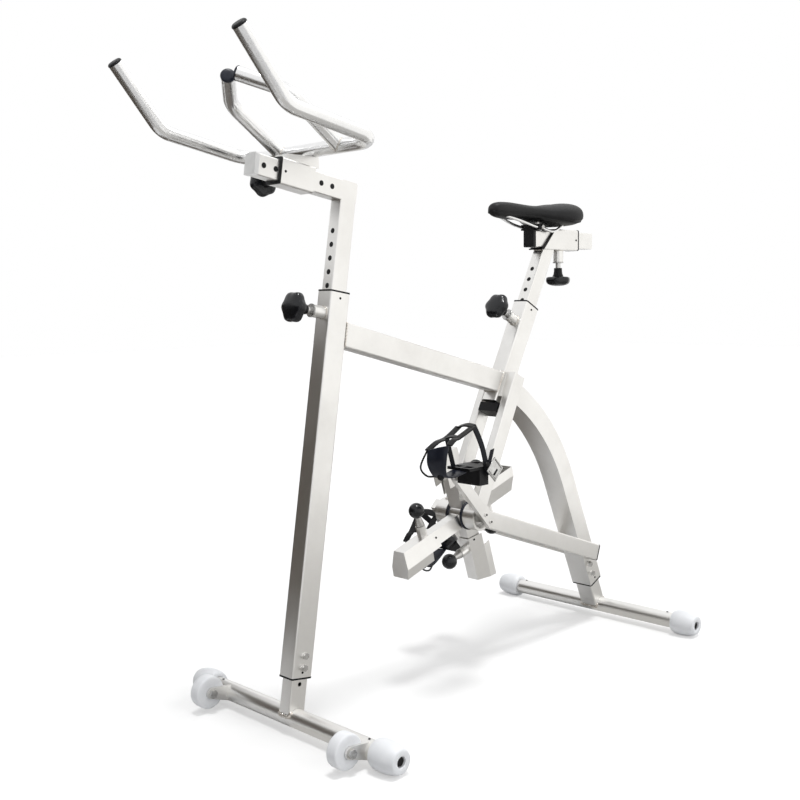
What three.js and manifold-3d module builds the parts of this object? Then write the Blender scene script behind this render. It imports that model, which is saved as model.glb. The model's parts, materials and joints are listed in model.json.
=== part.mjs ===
// A pool exercise bike: steel frame on two feet, sliding handlebar and saddle, pedals and a paddle wheel.
// Millimetres. X runs across the bike, Y from the front foot to the back foot, Z is up.
import * as THREE from "three";
import { mergeVertices } from "three/addons/utils/BufferGeometryUtils.js";
import Module from "manifold-3d";

const wasm = await Module();
wasm.setup();

// General sizes
const gap = 0.3; // left between pieces that touch
const smallest = 0.02; // edges that change the form less than this are left out
const overrun = 5; // how far a cutting shape runs past what it cuts
const roundSides = 24; // facets of a large cylinder
const smallSides = 12; // facets of a small cylinder
const holeSides = 8; // facets of the many small holes

// Tube sections
const sleeve = { width: 40, depth: 50, wall: 2, corner: 4 }; // outer tube
const inner = { width: 30, depth: 40, wall: 2, corner: 3 }; // tube that slides in it
const flat = { width: 20, depth: 40, wall: 2, corner: 3 }; // hangers and lower arms
const wide = { width: 58, depth: 48, wall: 2, corner: 4 }; // curved back tube
const wideInner = { width: 48, depth: 38, wall: 2, corner: 3 }; // leg that the curved tube fits over
const round = { radius: 19, wall: 2 }; // tube of the two feet

// Feet
const feet = {
  height: 29, // of the tube's axis over the floor
  back: 1036, // from the front tube's axis to the back one's
  reach: 287, // half the tube's length
};
const plug = {
  cover: 46, // how far the rubber foot reaches over the tube
  past: 15, // and past the tube's end
  mouth: 26, // radii along the foot
  belly: 29.6, // a little more than the axis height, so that it stands on a flat
  tip: 22,
  hole: 9,
  bellyFrom: 11, // from the mouth
  bellyTo: 31,
};

// Front post
const post = {
  lean: 9.2, // degrees back from upright
  legFrom: 8, // distances along the post from the foot tube's axis
  legTo: 240,
  sleeveFrom: 80,
  sleeveTo: 833,
  innerFrom: 650,
  corner: 1032.8, // where the stem's axis crosses
  bolts: [100, 123],
  legHole: 66,
};
const sideBolt = { radius: 7, height: 5 };
const holes = { radius: 4.5, pitch: 27, first: 952.5, count: 9, pinned: 6 };
const pinOnPost = holes.first - holes.pinned * holes.pitch;

// Stem, measured forward from the post's axis
const stem = {
  to: 224,
  cap: 10,
  capInsert: 18,
  sleeveFrom: 95,
  sleeveTo: 175,
  firstHole: 45.5,
  pitch: 28,
  count: 7,
  pin: 129.5,
};

// Handlebar, as places on its left half, measured from the stem's corner: across, back, up
const bar = {
  radius: 13.5,
  sides: 14,
  tip: [186, -387, 220.5],
  elbow: [186, -294, 109.5],
  corner: [186, -87, 72.5],
  elbowRadius: 55,
  cornerRadius: 48,
  steps: 88, // rings along the long bar
  armFoot: [83.5, -87, 72.5],
  armElbow: [86.5, -206, 156.5],
  armTip: [14.5, -263.5, 189.5],
  armRadius: 55,
  armSteps: 22,
  endCap: 5,
  capTip: 11.6, // radii of an end cap
  capRim: 13.9,
};
const riser = { width: 36, front: -157, back: -81, top: 59.5 };

// Main beam
const beam = {
  slope: -14.5, // degrees
  height: 705.8, // of its axis, at a place behind the front foot
  at: 390,
};

// Saddle post, measured along its axis from a point under the beam
const seat = {
  lean: 28, // degrees
  back: 631.9, // of that point
  underBeam: 43.2, // and its depth under the beam's axis
  sleeveFrom: -9,
  sleeveTo: 245,
  innerFrom: 110,
  pin: 195,
  firstHole: 335,
  pitch: 28,
  count: 8,
};

// Slider under the saddle, measured from where the saddle post's axis meets its own
const slider = {
  over: 376, // its axis, over the saddle post's lowest point
  front: -39, // lower front edge of its sleeve
  slant: 48, // how far its upper front edge lies back
  back: 100,
  lip: 8, // the front lining's tongue under the tube
  tubeFrom: -65,
  tubeTo: 168,
  pin: 44,
};

// Plastic linings at the sleeves' mouths
const lining = { flange: 3, insert: 20, grow: 0.5 };

// Spring pins with a round knob
const pin = {
  bore: 5.3,
  shaft: 5,
  barrelRadius: 12.5,
  barrel: 28,
  knobNear: 64, // from the sleeve's face to the knob
  knob: 20,
  knobRadius: 27.6,
  lobe: 2,
  lobes: 6,
  lobePoints: 48,
  collarRadius: 9,
  collarTop: 13.5,
  tipClear: 0.6,
};

// Curved back tube, from its foot upwards
const arch = {
  lean: 23.9, // degrees
  from: 78, // along the tube from the back foot's axis
  straight: 386,
  end: 75, // degrees of lean where the curve would end
  radius: 516,
  legFrom: 8,
  legTo: 160,
  steps: 20,
  bolts: [108, 137],
  boltsAhead: 9, // of the tube's axis
};

// Paddle wheel
const hub = { back: 513, up: 350, radius: 29, half: 22, axle: 12, axleHalf: 62.7 };
const hanger = {
  in: 27, // its inner face
  topBack: 33.1, // its upper end, from the saddle post's lowest point
  topUp: 57.5,
  from: 25, // its lower end, from the axle
};
const spacer = { long: 60, high: 34 }; // plate between a hanger and the saddle post's sleeve
const housing = { radius: 31, in: 24.5, out: 56, cup: 26, cupFrom: 44 };
const arm = {
  meets: 174.2, // where its axis crosses the curved tube's, along that tube
  past: 19.7, // and how far it runs on
};
const block = { half: 26.6, height: 21, front: -23, back: 17, under: 89.5 }; // the hangers' upper end
const blade = {
  angle: -107.5, // lean of the first blade, degrees
  apart: 90,
  count: 4,
  wall: 2,
  backHalf: 15,
  kneeHalf: 24,
  rimHalf: 22,
  back: 15,
  knee: -21,
  rim: -42,
  length: 105,
  slant: 12, // how much longer the rim is than the back
  lipFrom: 30,
  start: 56, // from the axle when pushed in
  pulled: [53, 0, 0, 0], // how far each blade is drawn out
  pinAt: 27,
};
const carrier = { backHalf: 11.5, frontHalf: 18.5, back: 12.4, front: -18, to: 130 };
const ball = { radius: 16, at: 60, base: 11, neck: 6, neckBase: 10, cone: 24, bore: 3.8, shaft: 3.5 };

// Cranks and pedals
const crank = {
  length: 145,
  lean: -42.9, // degrees, of the left crank
  in: 63,
  thick: 13,
  width: 25,
  tail: 23,
  screw: 12.5,
  screwRadius: 5,
  screwHead: 2,
};
const pedal = {
  in: 84,
  width: 62,
  long: 92,
  under: 24, // the platform's underside and top over the spindle
  top: 30,
  barrel: 14, // half the length of the part round the spindle
  barrelUnder: -10,
  windowWidth: 20,
  windows: 2,
  windowFrom: 20,
  windowTo: 38,
  spindle: 6,
  bore: 6.3,
  endWall: 10, // left solid beyond the spindle's end
  lean: { left: 0, right: 28 }, // degrees; above zero the toes point down
};
// Toe cage, as places from the pedal's spindle: across, back, up
const cage = {
  panel: 2.2, // half thicknesses
  wire: 2.6,
  band: 3.2,
  sides: 6, // facets of its rounded edges
  toeIn: [100, -123, 73],
  toeOut: [146, -109, 86],
  soleIn: [100, -106, 19],
  soleOut: [138, -108, 25],
  ridgeIn: [104, -69, 94],
  ridgeOut: [144, -79, 98],
  crownIn: [100, -27, 113],
  crownOut: [148, -34, 118],
  footIn: [96, -44, 27],
  footOut: [136, -44, 27],
  strapOut: [150, 3, 33],
  strapOutFoot: [150, 13, 12],
  strapInFoot: [97, -40, 26],
  looseEnd: [150, 17, 65],
  loop: [
    [98, -121, 74],
    [91, -135, 40],
    [93, -118, 19],
    [101, -95, 17],
  ],
};

// Transport wheels
const wheel = {
  radius: 33,
  width: 26,
  chamfer: 4,
  bore: 6.4,
  ahead: -53.5,
  up: 41,
  tab: 5, // thickness of the plate that holds it
  tabEnd: 11.5, // radius of the plate's round end
  tabTop: [-3, 47], // where the plate's edges leave the foot tube, as back and up
  tabUnder: [-10, 14],
  tabIn: 62.4, // the left plate's inner face, from the tube's left end
  tabFar: 96.4, // the right plate's, from the right end
  bolt: 6,
  headRadius: 9,
  head: 7,
};

// Saddle and its wire, measured from the slider as above.
// The saddle's rows run from nose to tail: place, half width, top, underside, rise of its middle.
const saddle = {
  stations: [
    [-213, 7, 66, 55, 0],
    [-206, 15, 75, 48, 0],
    [-189, 20, 80, 44, 0],
    [-157, 24, 81, 42, 0],
    [-120, 29, 79, 42, 0],
    [-82, 38, 77, 39, 3],
    [-47, 54, 78, 30, 8],
    [-17, 69, 82, 21, 14],
    [13, 78, 86, 15, 16],
    [40, 76, 88, 17, 14],
    [56, 64, 86, 27, 8],
    [64, 49, 80, 46, 0],
  ],
  around: 20,
  power: 2.7, // how square a cross-section is
};
const rail = {
  radius: 3.5,
  sides: 8,
  steps: 44,
  places: [
    [8, -177, 50],
    [17, -142, 42],
    [22, -104, 33],
    [22, -70, 27],
    [24, -48, 24],
    [26, -20, 18.5],
    [30, 0, 23],
    [38, 30, 46],
  ],
};
const clamp = { half: 27, from: -69, to: -47, top: 34, capWidth: 30, capDepth: 40, capThick: 9, insert: 20 };

const steel = material(0xd9dadb, 0.32, 0.9);
const polished = material(0xc9ccd0, 0.15, 1);
const black = material(0x141416, 0.5, 0);
const white = material(0xe6ebf0, 0.55, 0);
const padding = material(0x17171a, 0.75, 0);

function material(color, roughness, metalness) {
  return { color, roughness, metalness };
}

// Turns a geometry into a solid that can be joined and cut.
function solid(geometry) {
  const bare = geometry.clone();
  bare.deleteAttribute("normal");
  bare.deleteAttribute("uv");
  const merged = mergeVertices(bare, 1e-4);
  return new wasm.Manifold(
    new wasm.Mesh({
      numProp: 3,
      vertProperties: merged.attributes.position.array,
      triVerts: new Uint32Array(merged.index.array),
    }),
  );
}

// Outline of a rectangle with rounded corners, centred on zero.
function rectangle(width, depth, corner) {
  const x = width / 2 - corner;
  const y = depth / 2 - corner;
  const shape = new THREE.Shape();
  shape.absarc(x, y, corner, 0, Math.PI / 2);
  shape.absarc(-x, y, corner, Math.PI / 2, Math.PI);
  shape.absarc(-x, -y, corner, Math.PI, Math.PI * 1.5);
  shape.absarc(x, -y, corner, Math.PI * 1.5, Math.PI * 2);
  return shape;
}

// A bar along Z between two heights.
function prism(shape, from, to, curveSegments = 3) {
  const geometry = new THREE.ExtrudeGeometry(shape, {
    depth: to - from,
    bevelEnabled: false,
    curveSegments,
  });
  return solid(geometry.translate(0, 0, from));
}

function boxTube(section, from, to) {
  const outside = prism(rectangle(section.width, section.depth, section.corner), from, to);
  return outside.subtract(bore(section, from - overrun, to + overrun));
}

// The space inside a rectangular tube.
function bore(section, from, to) {
  const thin = 2 * section.wall;
  return prism(
    rectangle(section.width - thin, section.depth - thin, section.corner - section.wall),
    from,
    to,
  );
}

// The solid bar a tube fills, grown on each side.
function filled(section, from, to, grow) {
  return prism(
    rectangle(section.width + 2 * grow, section.depth + 2 * grow, section.corner),
    from,
    to,
  );
}

function block3(x, y, z) {
  const box = new THREE.BoxGeometry(x[1] - x[0], y[1] - y[0], z[1] - z[0]);
  box.translate((x[0] + x[1]) / 2, (y[0] + y[1]) / 2, (z[0] + z[1]) / 2);
  return solid(box);
}

// A cylinder along Z.
function rod(radius, from, to, sides = smallSides) {
  const cylinder = new THREE.CylinderGeometry(radius, radius, to - from, sides);
  return solid(cylinder.rotateX(Math.PI / 2).translate(0, 0, (from + to) / 2));
}

// A round body turned about Z, from points of radius and height.
function turned(points, sides = roundSides) {
  const profile = points.map(([radius, height]) => new THREE.Vector2(radius, height));
  return solid(new THREE.LatheGeometry(profile, sides).rotateX(Math.PI / 2));
}

// Lays what stands along Z down along X.
const acrossX = (piece) => piece.rotate([0, 90, 0]);
// Points what stands along Z towards the front.
const towardsFront = (piece) => piece.rotate([90, 0, 0]);
// Puts a piece drawn along Z on a member that leans back from upright.
const lean = (piece, degrees, back, up) => piece.rotate([-degrees, 0, 0]).translate([0, back, up]);

const radians = THREE.MathUtils.degToRad;
const degrees = THREE.MathUtils.radToDeg;
// A place along a member, as back and up
const along = ([back, up], angle, distance) => [
  back + distance * Math.sin(radians(angle)),
  up + distance * Math.cos(radians(angle)),
];

const postFoot = [0, feet.height];
const archFoot = [feet.back, feet.height];
const hubAt = [hub.back, hub.up];
const stemFoot = along(postFoot, post.lean, post.corner);
const beamAtSeat = beam.height + (seat.back - beam.at) * Math.tan(radians(beam.slope));
const seatFoot = [seat.back, beamAtSeat - seat.underBeam];
const sliderRise = slider.over / Math.cos(radians(seat.lean));
const sliderAt = along(seatFoot, seat.lean, sliderRise);

const onPost = (piece) => lean(piece, post.lean, ...postFoot);
const onStem = (piece) => lean(piece, post.lean - 90, ...stemFoot);
const onSeat = (piece) => lean(piece, seat.lean, ...seatFoot);
const onArchFoot = (piece) => lean(piece, -arch.lean, ...archFoot);
const onHub = (piece) => piece.translate([0, ...hubAt]);
const onSlider = (piece) => piece.translate([0, ...sliderAt]);

// A tube of any outline along a path, as one closed body.
function sweep(outline, path, steps, curveSegments) {
  return solid(
    new THREE.ExtrudeGeometry(outline, { steps, extrudePath: path, curveSegments }),
  );
}

function disc(radius) {
  const shape = new THREE.Shape();
  shape.absarc(0, 0, radius, 0, Math.PI * 2);
  return shape;
}

// A path of straight runs joined by rounded corners.
function bentPath(places, radii) {
  const path = new THREE.CurvePath();
  let start = places[0];
  for (let i = 1; i < places.length - 1; i++) {
    const here = places[i];
    const before = start.clone().sub(here).normalize();
    const after = places[i + 1].clone().sub(here).normalize();
    const cut = radii[i - 1] / Math.tan(before.angleTo(after) / 2);
    const enter = here.clone().addScaledVector(before, cut);
    const leave = here.clone().addScaledVector(after, cut);
    path.add(new THREE.LineCurve3(start, enter));
    path.add(new THREE.QuadraticBezierCurve3(enter, here, leave));
    start = leave;
  }
  path.add(new THREE.LineCurve3(start, places[places.length - 1]));
  return path;
}

const place = ([x, y, z]) => new THREE.Vector3(x, y + stemFoot[0], z + stemFoot[1]);
const mirrored = ([x, y, z]) => [-x, y, z];

// Six-sided bolt head standing on Z.
const hexHead = (radius, height) => rod(radius, 0, height, 6);

// Foot tubes with rubber ends
function footTube() {
  const tube = rod(round.radius, -feet.reach, feet.reach, roundSides);
  const hollow = rod(
    round.radius - round.wall,
    -feet.reach - overrun,
    feet.reach + overrun,
    roundSides,
  );
  return acrossX(tube.subtract(hollow)).translate([0, 0, feet.height]);
}

function wheelTab(inside) {
  const outline = new THREE.Shape([
    new THREE.Vector2(wheel.ahead, wheel.up + wheel.tabEnd),
    new THREE.Vector2(wheel.ahead, wheel.up - wheel.tabEnd),
    new THREE.Vector2(...wheel.tabUnder),
    new THREE.Vector2(...wheel.tabTop),
  ]);
  const plate = standing(outline, wheel.tab / 2).translate([inside + wheel.tab / 2, 0, 0]);
  const end = acrossX(rod(wheel.tabEnd, inside, inside + wheel.tab));
  const hole = acrossX(rod(wheel.bolt + gap, inside - overrun, inside + wheel.tab + overrun));
  const hollow = acrossX(
    rod(round.radius - round.wall, -feet.reach, feet.reach, roundSides),
  ).translate([0, 0, feet.height]);
  return plate
    .add(end.translate([0, wheel.ahead, wheel.up]))
    .subtract(hole.translate([0, wheel.ahead, wheel.up]))
    .subtract(hollow);
}

const tabsAt = [feet.reach - wheel.tabIn, wheel.tabFar - feet.reach];

function frontBase() {
  return tabsAt.reduce((base, inside) => base.add(wheelTab(inside)), footTube());
}

function rubberFoot(side) {
  const socket = round.radius + gap;
  const end = feet.reach + gap;
  const mouth = feet.reach - plug.cover;
  const profile = [
    [socket, mouth],
    [plug.mouth, mouth],
    [plug.belly, mouth + plug.bellyFrom],
    [plug.belly, mouth + plug.bellyTo],
    [plug.tip, feet.reach + plug.past],
    [plug.hole, feet.reach + plug.past],
    [plug.hole, end],
    [socket, end],
    [socket, mouth],
  ];
  const foot = acrossX(turned(profile));
  const turnedFoot = side < 0 ? foot.rotate([0, 180, 0]) : foot;
  return turnedFoot.translate([0, 0, feet.height]).trimByPlane([0, 0, 1], 0);
}

// Transport wheels on one bolt each
function transportWheel(inside) {
  const half = wheel.width;
  const profile = [
    [wheel.bore, 0],
    [wheel.radius - wheel.chamfer, 0],
    [wheel.radius, wheel.chamfer],
    [wheel.radius, half - wheel.chamfer],
    [wheel.radius - wheel.chamfer, half],
    [wheel.bore, half],
    [wheel.bore, 0],
  ];
  const from = inside - gap - wheel.width;
  return acrossX(turned(profile)).translate([from, wheel.ahead, wheel.up]);
}

function wheelBolt(inside) {
  const end = inside - 2 * gap - wheel.width;
  const headAt = inside + wheel.tab + gap;
  const shaft = rod(wheel.bolt, end - wheel.head, headAt + wheel.head);
  const head = hexHead(wheel.headRadius, wheel.head).translate([0, 0, headAt]);
  const nut = hexHead(wheel.headRadius, wheel.head).translate([0, 0, end - wheel.head]);
  return acrossX(shaft.add(head).add(nut)).translate([0, wheel.ahead, wheel.up]);
}

// Short inner leg that stands on a foot tube
function footLeg(section, from, to, holeAt) {
  const leg = boxTube(section, from, to);
  const notch = rod(round.radius + gap, -section.width, section.width, roundSides);
  const cross = rod(holes.radius, -section.width, section.width, holeSides);
  return leg.subtract(acrossX(notch)).subtract(acrossX(cross).translate([0, 0, holeAt]));
}

// Bolt heads on both sides of a sleeve that stands on Z
function sideBolts(section, places) {
  const head = acrossX(hexHead(sideBolt.radius, sideBolt.height + gap));
  const left = head.translate([section.width / 2 - gap, 0, 0]);
  const pair = [left, left.mirror([1, 0, 0])];
  return places.flatMap((along) => pair.map((bolt) => bolt.translate([0, 0, along])));
}

// Barrel of a spring pin, standing on Z from a sleeve's face
function pinBarrel(face) {
  return rod(pin.barrelRadius, face - gap, face + pin.barrel);
}

const pinBore = (face) => rod(pin.bore, face - sleeve.wall - overrun, face + pin.barrel + overrun);

function lobedOutline() {
  const points = [];
  for (let i = 0; i < pin.lobePoints; i++) {
    const turn = (i / pin.lobePoints) * Math.PI * 2;
    const radius = pin.knobRadius + pin.lobe * Math.cos(pin.lobes * turn);
    points.push(new THREE.Vector2(radius * Math.cos(turn), radius * Math.sin(turn)));
  }
  return new THREE.Shape(points);
}

// Knob and shaft of a spring pin, standing on Z from a sleeve's face
function springPin(face, innerFace) {
  const knobAt = face + pin.knobNear;
  const knob = prism(lobedOutline(), knobAt, knobAt + pin.knob);
  const collar = turned(
    [
      [0, face + pin.barrel + 2 * gap],
      [pin.collarRadius, face + pin.barrel + 2 * gap],
      [pin.collarTop, knobAt],
      [0, knobAt],
    ],
    smallSides,
  );
  const shaft = rod(pin.shaft, innerFace + pin.tipClear, knobAt + gap);
  return knob.add(collar).add(shaft);
}

// Plastic lining at a sleeve's mouth, standing on Z with its flange on top
function mouthLining(at, outside = sleeve, slides = inner) {
  const flange = filled(outside, at + gap, at + gap + lining.flange, lining.grow);
  const insert = filled(outside, at - lining.insert, at + gap * 2, -outside.wall - gap);
  const hole = filled(slides, at - lining.insert - overrun, at + lining.flange + overrun, gap);
  return flange.add(insert).subtract(hole);
}

function postSleeve() {
  const tube = boxTube(sleeve, post.sleeveFrom, post.sleeveTo);
  const face = sleeve.depth / 2;
  const at = [0, 0, pinOnPost];
  return sideBolts(sleeve, post.bolts)
    .reduce((made, head) => made.add(head), tube)
    .add(towardsFront(pinBarrel(face)).translate(at))
    .subtract(towardsFront(pinBore(face)).translate(at));
}

// Upper post and stem, one welded angle
function stemPost() {
  const half = inner.depth / 2;
  const upright = onPost(filled(inner, post.innerFrom, post.corner + half, 0));
  const forward = onStem(filled(inner, -half, stem.to, 0));
  const thin = half - inner.wall;
  const uprightBore = onPost(bore(inner, post.innerFrom - overrun, post.corner + thin));
  const forwardBore = onStem(bore(inner, -thin, stem.to + overrun));
  let made = upright.add(forward).subtract(uprightBore).subtract(forwardBore);
  for (let i = 0; i < holes.count; i++) {
    const hole = towardsFront(rod(holes.radius, 0, inner.depth, holeSides));
    made = made.subtract(onPost(hole.translate([0, 0, holes.first - i * holes.pitch])));
  }
  for (let i = 0; i < stem.count; i++) {
    const hole = acrossX(rod(holes.radius, -inner.width, inner.width, holeSides));
    made = made.subtract(onStem(hole.translate([0, 0, stem.firstHole + i * stem.pitch])));
  }
  return made;
}

function stemCap() {
  const cap = filled(inner, stem.to + gap, stem.to + stem.cap, lining.grow);
  const insert = filled(inner, stem.to - stem.capInsert, stem.to + stem.cap, -inner.wall - gap);
  return onStem(cap.add(insert));
}

function stemSleeve() {
  const tube = boxTube(sleeve, stem.sleeveFrom, stem.sleeveTo);
  const face = sleeve.width / 2;
  const side = (piece) => acrossX(piece).rotate([0, 0, 180]).translate([0, 0, stem.pin]);
  const barrelled = tube.add(side(pinBarrel(face))).subtract(side(pinBore(face)));
  const half = riser.width / 2;
  const front = stemFoot[0] + riser.front;
  const back = stemFoot[0] + riser.back;
  const wedge = block3([-half, half], [front, back], [stemFoot[1], stemFoot[1] + riser.top]);
  const clear = onStem(filled(sleeve, 0, stem.sleeveTo + overrun, -gap));
  const notch = onStem(filled(inner, -overrun, stem.to, gap + lining.flange));
  const rest = acrossX(rod(bar.radius + gap, -sleeve.width, sleeve.width, roundSides));
  return onStem(barrelled)
    .add(wedge.subtract(clear).subtract(notch))
    .subtract(rest.translate([0, stemFoot[0] + bar.corner[1], stemFoot[1] + bar.corner[2]]));
}

// Handlebar: two horns, a cross bar and two inner arms that meet in front
function handlebar() {
  const main = [bar.tip, bar.elbow, bar.corner].map(place);
  const far = [bar.corner, bar.elbow, bar.tip].map(mirrored).map(place);
  const radii = [bar.elbowRadius, bar.cornerRadius, bar.cornerRadius, bar.elbowRadius];
  const path = bentPath([...main, ...far], radii);
  const loop = sweep(disc(bar.radius), path, bar.steps, bar.sides / 2);
  const armPath = (turn) =>
    bentPath([bar.armFoot, bar.armElbow, bar.armTip].map(turn).map(place), [bar.armRadius]);
  const arms = [(p) => p, mirrored].map(armPath);
  return arms
    .map((armAxis) => sweep(disc(bar.radius), armAxis, bar.armSteps, bar.sides / 2))
    .reduce((made, piece) => made.add(piece), loop);
}

// A cap on the end of a bar that runs from one place to another
function endCap(from, to) {
  const way = place(to).sub(place(from)).normalize();
  const turn = new THREE.Quaternion().setFromUnitVectors(new THREE.Vector3(0, 0, 1), way);
  const cap = new THREE.CylinderGeometry(bar.capTip, bar.capRim, bar.endCap, roundSides);
  cap.rotateX(Math.PI / 2).translate(0, 0, gap + bar.endCap / 2);
  cap.applyQuaternion(turn).translate(...place(to));
  return solid(cap);
}

// Where a member's side face lies, for cutting what meets it
function keepBehind(piece, degrees, foot, offset) {
  const normal = [0, Math.cos(radians(degrees)), -Math.sin(radians(degrees))];
  return piece.trimByPlane(normal, offset + normal[1] * foot[0] + normal[2] * foot[1]);
}

function keepAhead(piece, degrees, foot, offset) {
  const normal = [0, -Math.cos(radians(degrees)), Math.sin(radians(degrees))];
  return piece.trimByPlane(normal, offset + normal[1] * foot[0] + normal[2] * foot[1]);
}

function mainBeam() {
  const long = feet.back / 2;
  const tube = boxTube(sleeve, -long, long);
  const laid = lean(tube, 90 - beam.slope, beam.at, beam.height);
  const reach = sleeve.depth / 2 + gap;
  const behindPost = keepBehind(laid, post.lean, postFoot, reach);
  return keepAhead(behindPost, seat.lean, seatFoot, reach);
}

function seatSleeve() {
  const tube = boxTube(sleeve, seat.sleeveFrom, seat.sleeveTo);
  const face = sleeve.depth / 2;
  const at = [0, 0, seat.pin];
  return tube
    .add(towardsFront(pinBarrel(face)).translate(at))
    .subtract(towardsFront(pinBore(face)).translate(at));
}

// Saddle post with the slider's sleeve on top
function seatPost() {
  const half = sleeve.depth / 2;
  const post = onSeat(filled(inner, seat.innerFrom, sliderRise, 0));
  const hollow = onSeat(bore(inner, seat.innerFrom - overrun, sliderRise - inner.depth));
  let upright = post.trimByPlane([0, 0, -1], half - gap - sliderAt[1]).subtract(hollow);
  for (let i = 0; i < seat.count; i++) {
    const hole = towardsFront(rod(holes.radius, 0, inner.depth, holeSides));
    const up = seat.firstHole - i * seat.pitch;
    upright = upright.subtract(onSeat(hole.translate([0, 0, up])));
  }
  const slope = Math.atan2(slider.slant, sleeve.depth);
  const normal = [0, Math.cos(slope), -Math.sin(slope)];
  const edge = normal[1] * slider.front - normal[2] * half;
  const level = lean(boxTube(sleeve, slider.front, slider.back), 90, 0, 0);
  const under = (piece) => piece.rotate([180, 0, 0]).translate([0, slider.pin, 0]);
  const carrying = level
    .trimByPlane(normal, edge)
    .add(under(pinBarrel(half)))
    .subtract(under(pinBore(half)));
  return upright.add(onSlider(carrying));
}

// Slanted lining at the front of the slider's sleeve, with a tongue under the tube
function sliderFrontLining() {
  const half = sleeve.depth / 2;
  const thick = lining.flange;
  const outline = new THREE.Shape([
    new THREE.Vector2(slider.front - gap, -half),
    new THREE.Vector2(slider.front + slider.slant - gap, half),
    new THREE.Vector2(slider.front + slider.slant - thick, half),
    new THREE.Vector2(slider.front - thick, thick - half),
    new THREE.Vector2(slider.front - slider.lip, thick - half),
    new THREE.Vector2(slider.front - slider.lip, -half),
  ]);
  const hole = lean(filled(inner, slider.tubeFrom, slider.tubeTo, gap), 90, 0, 0);
  return onSlider(standing(outline, sleeve.width / 2).subtract(hole));
}

function sliderLining() {
  return onSlider(lean(mouthLining(slider.back), 90, 0, 0));
}

function sliderTube() {
  return onSlider(lean(boxTube(inner, slider.tubeFrom, slider.tubeTo), 90, 0, 0));
}

// Cap on the slider tube's front end, with the clamp for the saddle's wire on top
function saddleClamp() {
  const cap = { width: clamp.capWidth, depth: clamp.capDepth, corner: inner.corner };
  const end = slider.tubeFrom - gap;
  const front = filled(cap, end - clamp.capThick, end, 0);
  const insert = filled(inner, end - gap, end + clamp.insert, -inner.wall - gap);
  const low = inner.depth / 2 + gap;
  const bridgeFrom = slider.tubeFrom - clamp.capThick;
  const half = clamp.capWidth / 2;
  const bridge = block3([-half, half], [bridgeFrom, clamp.to], [low, clamp.top]);
  const jaws = block3([-clamp.half, clamp.half], [clamp.from, clamp.to], [low, clamp.top]);
  const neck = block3([-half, half], [bridgeFrom, end], [0, clamp.top]);
  const body = lean(front.add(insert), 90, 0, 0).add(neck).add(bridge).add(jaws);
  return onSlider(body).subtract(saddleWire(rail.radius + gap));
}

// One bent wire: tail, clamp, nose, and back along the other side
function saddleWire(radius) {
  const half = [...rail.places].reverse();
  const places = [...half, ...rail.places.map(mirrored)].map((spot) => new THREE.Vector3(...spot));
  const path = new THREE.CatmullRomCurve3(places, false, "centripetal");
  return onSlider(sweep(disc(radius), path, rail.steps, rail.sides / 2));
}

// Padded saddle from cross-sections that are rounder than a box
function saddlePad() {
  const rings = saddle.stations;
  const count = saddle.around;
  const positions = [];
  const squared = (value) => Math.sign(value) * Math.abs(value) ** (2 / saddle.power);
  for (const [back, half, top, under, rise] of rings) {
    for (let i = 0; i < count; i++) {
      const turn = (i / count) * Math.PI * 2;
      const across = squared(Math.cos(turn));
      const lift = Math.sin(turn) < 0 ? rise * (1 - across ** 2) : 0;
      const up = (top + under) / 2 + (squared(Math.sin(turn)) * (top - under)) / 2;
      positions.push(across * half, back, up + lift);
    }
  }
  const triangles = [];
  for (let r = 0; r < rings.length - 1; r++) {
    for (let i = 0; i < count; i++) {
      const a = r * count + i;
      const b = r * count + ((i + 1) % count);
      triangles.push(a, a + count, b, b, a + count, b + count);
    }
  }
  const last = (rings.length - 1) * count;
  for (let i = 1; i < count - 1; i++) {
    triangles.push(0, i, i + 1);
    triangles.push(last, last + i + 1, last + i);
  }
  const geometry = new THREE.BufferGeometry();
  geometry.setAttribute("position", new THREE.Float32BufferAttribute(positions, 3));
  geometry.setIndex(triangles);
  return onSlider(solid(geometry)).subtract(saddleWire(rail.radius + gap));
}

// Curved tube behind the saddle post
function archAxis(from) {
  const ahead = (point, angle, distance) => along(point, -angle, distance);
  const points = [from, arch.straight].map((far) => ahead(archFoot, arch.lean, far));
  const step = (arch.end - arch.lean) / arch.steps;
  for (let i = 0; i < arch.steps; i++) {
    const middle = arch.lean + (i + 1 / 2) * step;
    points.push(ahead(points[points.length - 1], middle, arch.radius * radians(step)));
  }
  return points.map(([back, up]) => new THREE.Vector2(back, up));
}

// The curved tube's side outline at a distance from its axis
function archOutline(half, from) {
  const axis = archAxis(from);
  const front = [];
  const back = [];
  axis.forEach((point, i) => {
    const before = axis[Math.max(i - 1, 0)];
    const after = axis[Math.min(i + 1, axis.length - 1)];
    const way = after.clone().sub(before).normalize();
    const side = new THREE.Vector2(way.y, -way.x);
    back.push(point.clone().addScaledVector(side, half));
    front.push(point.clone().addScaledVector(side, -half));
  });
  return new THREE.Shape([...back, ...front.reverse()]);
}

function archTube() {
  const half = wide.depth / 2;
  const outer = standing(archOutline(half, arch.from), wide.width / 2);
  const inside = archOutline(half - wide.wall, arch.from - overrun);
  const hollow = standing(inside, wide.width / 2 - wide.wall);
  const heads = sideBolts(wide, arch.bolts).map((head) => head.translate([0, -arch.boltsAhead, 0]));
  const tube = heads.reduce((made, head) => made.add(onArchFoot(head)), outer);
  const cut = [1, -1].map(hangerClearance).reduce((made, piece) => made.subtract(piece), tube);
  return keepBehind(cut.subtract(hollow), seat.lean, seatFoot, sleeve.depth / 2 + gap);
}

// Stands a side outline, drawn as back and up, on its place and gives it width.
function standing(shape, half) {
  return prism(shape, -half, half).rotate([90, 0, 90]);
}

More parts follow.
